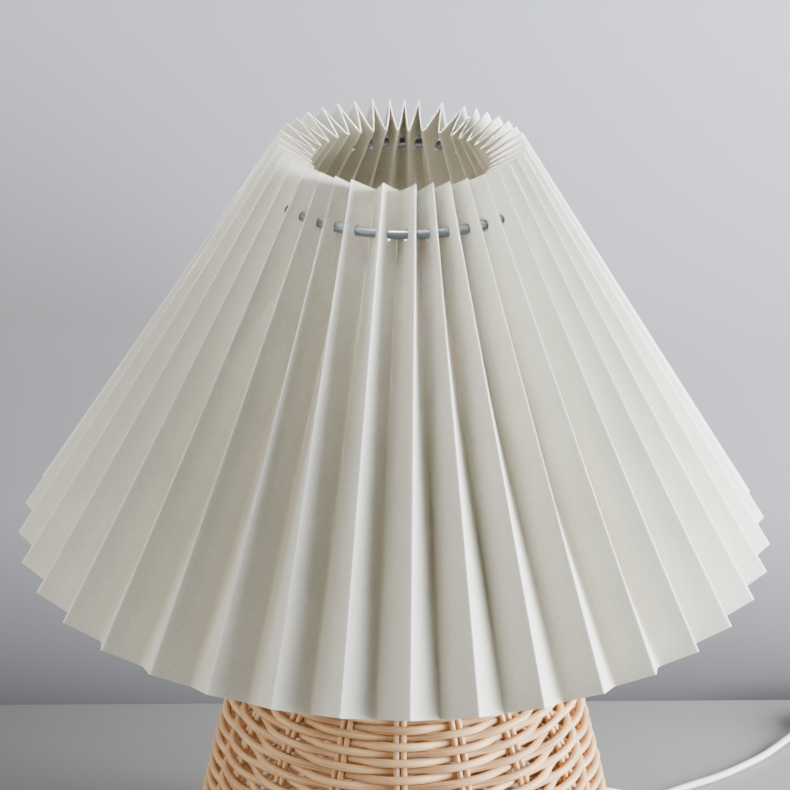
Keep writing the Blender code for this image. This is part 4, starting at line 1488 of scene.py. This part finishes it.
class LAMP_OT_stage(bpy.types.Operator):
    """Set the table, the wall behind it, the soft light and the camera"""

    bl_idname = "lamp.stage"
    bl_label = "Stage"

    def execute(self, context):
        settings = context.scene.lamp_stage
        self.table(settings)
        self.wall(settings)
        self.lights(settings)
        self.camera()
        return {"FINISHED"}

    def one_sided(self, finish, shader):
        """Lets the eye through a surface from behind, so that it hides nothing of the lamp."""
        side = add_node(finish, "ShaderNodeNewGeometry")
        clear = add_node(finish, "ShaderNodeBsdfTransparent")
        both = add_node(finish, "ShaderNodeMixShader")
        link(finish, side.outputs["Backfacing"], both.inputs[0])
        link(finish, shader.outputs["BSDF"], both.inputs[1])
        link(finish, clear.outputs["BSDF"], both.inputs[2])
        show(finish, both.outputs["Shader"])

    def table(self, settings):
        """A wide grey table, darkened towards its left by painted shade."""
        finish, shader = new_finish("table_top", settings.table_grey, 0.55)
        # painted shade: the table darkens to this colour towards its left
        painted_shade_left = [channel * 0.62 for channel in settings.table_grey]
        across = spread(finish, along_axis(finish, "Object", "X"), -0.25, 0.2)
        link(finish, tint(finish, across, painted_shade_left, settings.table_grey), shader.inputs["Base Color"])
        self.one_sided(finish, shader)
        bm = bmesh.new()
        bmesh.ops.create_grid(bm, x_segments=1, y_segments=1, size=TABLE_HALF)
        bmesh.ops.translate(bm, vec=(0, 0, -0.0002), verts=bm.verts)
        settled(bm, "table", finish)

    def wall(self, settings):
        """A pale wall, with painted shade darkening its foot and a painted pool of light above the lamp."""
        finish, shader = new_finish("wall_paint", settings.wall_grey, 0.9)
        up = along_axis(finish, "Object", "Z")
        # painted shade darkens the wall's foot to the first colour, and a painted pool of light brightens
        # it above the lamp to the second
        foot = [channel * 0.24 for channel in settings.wall_grey]
        high = [channel * 1.3 for channel in settings.wall_grey]
        lower = tint(finish, spread(finish, up, -0.01, 0.13), foot, settings.wall_grey)
        rise = spread(finish, up, 0.22, 0.42)
        link(finish, tint(finish, rise, lower, high), shader.inputs["Base Color"])
        self.one_sided(finish, shader)
        bm = bmesh.new()
        bmesh.ops.create_grid(bm, x_segments=1, y_segments=1, size=WALL_HALF)
        upright = Matrix.Rotation(math.pi / 2, 4, "X")
        place = Matrix.Translation((0, settings.wall_distance, WALL_MIDDLE_Z))
        bmesh.ops.transform(bm, matrix=place @ upright, verts=bm.verts)
        mesh = bpy.data.meshes.new("wall")
        bm.to_mesh(mesh)
        bm.free()
        add_piece(mesh, "wall", finish)

    def lights(self, settings):
        """An even room, four soft lights low round the lamp and a narrow one from above."""
        world = bpy.data.worlds.new("room")
        world.use_nodes = True
        sky = world.node_tree.nodes["Background"]
        sky.inputs["Color"].default_value = (1.0, 0.98, 0.94, 1.0)
        ray = world.node_tree.nodes.new("ShaderNodeLightPath")
        level = world.node_tree.nodes.new("ShaderNodeMapRange")
        level.inputs["To Min"].default_value = ROOM_LIGHT
        level.inputs["To Max"].default_value = ROOM_SEEN
        world.node_tree.links.new(ray.outputs["Is Camera Ray"], level.inputs["Value"])
        world.node_tree.links.new(level.outputs["Result"], sky.inputs["Strength"])
        bpy.context.scene.world = world
        for name, place, target, size, tone in LIGHTS:
            area_light(name, place, target, size, getattr(settings, f"{name}_power"), tone)
        bpy.data.lights["top"].spread = TOP_SPREAD

    def camera(self):
        """Looks slightly down at the lamp, with a long lens and a slight roll."""
        data = bpy.data.cameras.new("camera")
        data.sensor_width = 36.0
        data.lens = CAMERA_LENS
        camera = bpy.data.objects.new("camera", data)
        bpy.context.scene.collection.objects.link(camera)
        camera.location = CAMERA_PLACE
        aside = Matrix.Rotation(-CAMERA_ASIDE, 4, "Z")
        down = Matrix.Rotation(math.pi / 2 - CAMERA_DOWN, 4, "X")
        roll = Matrix.Rotation(CAMERA_ROLL, 4, "Z")
        camera.rotation_euler = (aside @ down @ roll).to_euler()
        bpy.context.scene.camera = camera


# ---------------------------------------------------------------- panel and registration
class LAMP_PT_panel(bpy.types.Panel):
    """Lists the lamp's pieces in the order they are made"""

    bl_idname = "LAMP_PT_panel"
    bl_label = "Pleated Rattan Lamp"
    bl_space_type = "VIEW_3D"
    bl_region_type = "UI"
    bl_category = "Lamp"

    def draw(self, context):
        for settings, operators in PARTS:
            box = self.layout.box()
            for operator in operators:
                box.operator(operator.bl_idname)
            group = getattr(context.scene, settings)
            for name in group.bl_rna.properties.keys():
                if name not in ("rna_type", "name"):
                    box.prop(group, name)


# each group of settings and the operators that read it, in the order the lamp is made
PARTS = (
    ("lamp_stage", (LAMP_OT_stage, LAMP_OT_finishes)),
    ("lamp_lead", (LAMP_OT_lead,)),
    ("lamp_weave", (LAMP_OT_woven_body,)),
    ("lamp_holder", (LAMP_OT_lamp_holder, LAMP_OT_bulb)),
    ("lamp_shade", (LAMP_OT_shade,)),
)
SETTINGS = {
    "lamp_stage": StageSettings,
    "lamp_lead": LeadSettings,
    "lamp_weave": WeaveSettings,
    "lamp_holder": HolderSettings,
    "lamp_shade": ShadeSettings,
}


def register():
    for name, group in SETTINGS.items():
        bpy.utils.register_class(group)
        setattr(bpy.types.Scene, name, PointerProperty(type=group))
    for _, operators in PARTS:
        for operator in operators:
            bpy.utils.register_class(operator)
    bpy.utils.register_class(LAMP_PT_panel)


def unregister():
    bpy.utils.unregister_class(LAMP_PT_panel)
    for _, operators in reversed(PARTS):
        for operator in operators:
            bpy.utils.unregister_class(operator)
    for name, group in SETTINGS.items():
        delattr(bpy.types.Scene, name)
        bpy.utils.unregister_class(group)


def clear_startup():
    """Removes the cube, light and camera that a new file opens with."""
    for name in ("Cube", "Light", "Camera"):
        if name in bpy.data.objects:
            bpy.data.objects.remove(bpy.data.objects[name])


def main():
    clear_startup()
    register()
    for _, operators in PARTS:
        for operator in operators:
            group, name = operator.bl_idname.split(".")
            getattr(getattr(bpy.ops, group), name)()


if __name__ == "__main__":
    main()
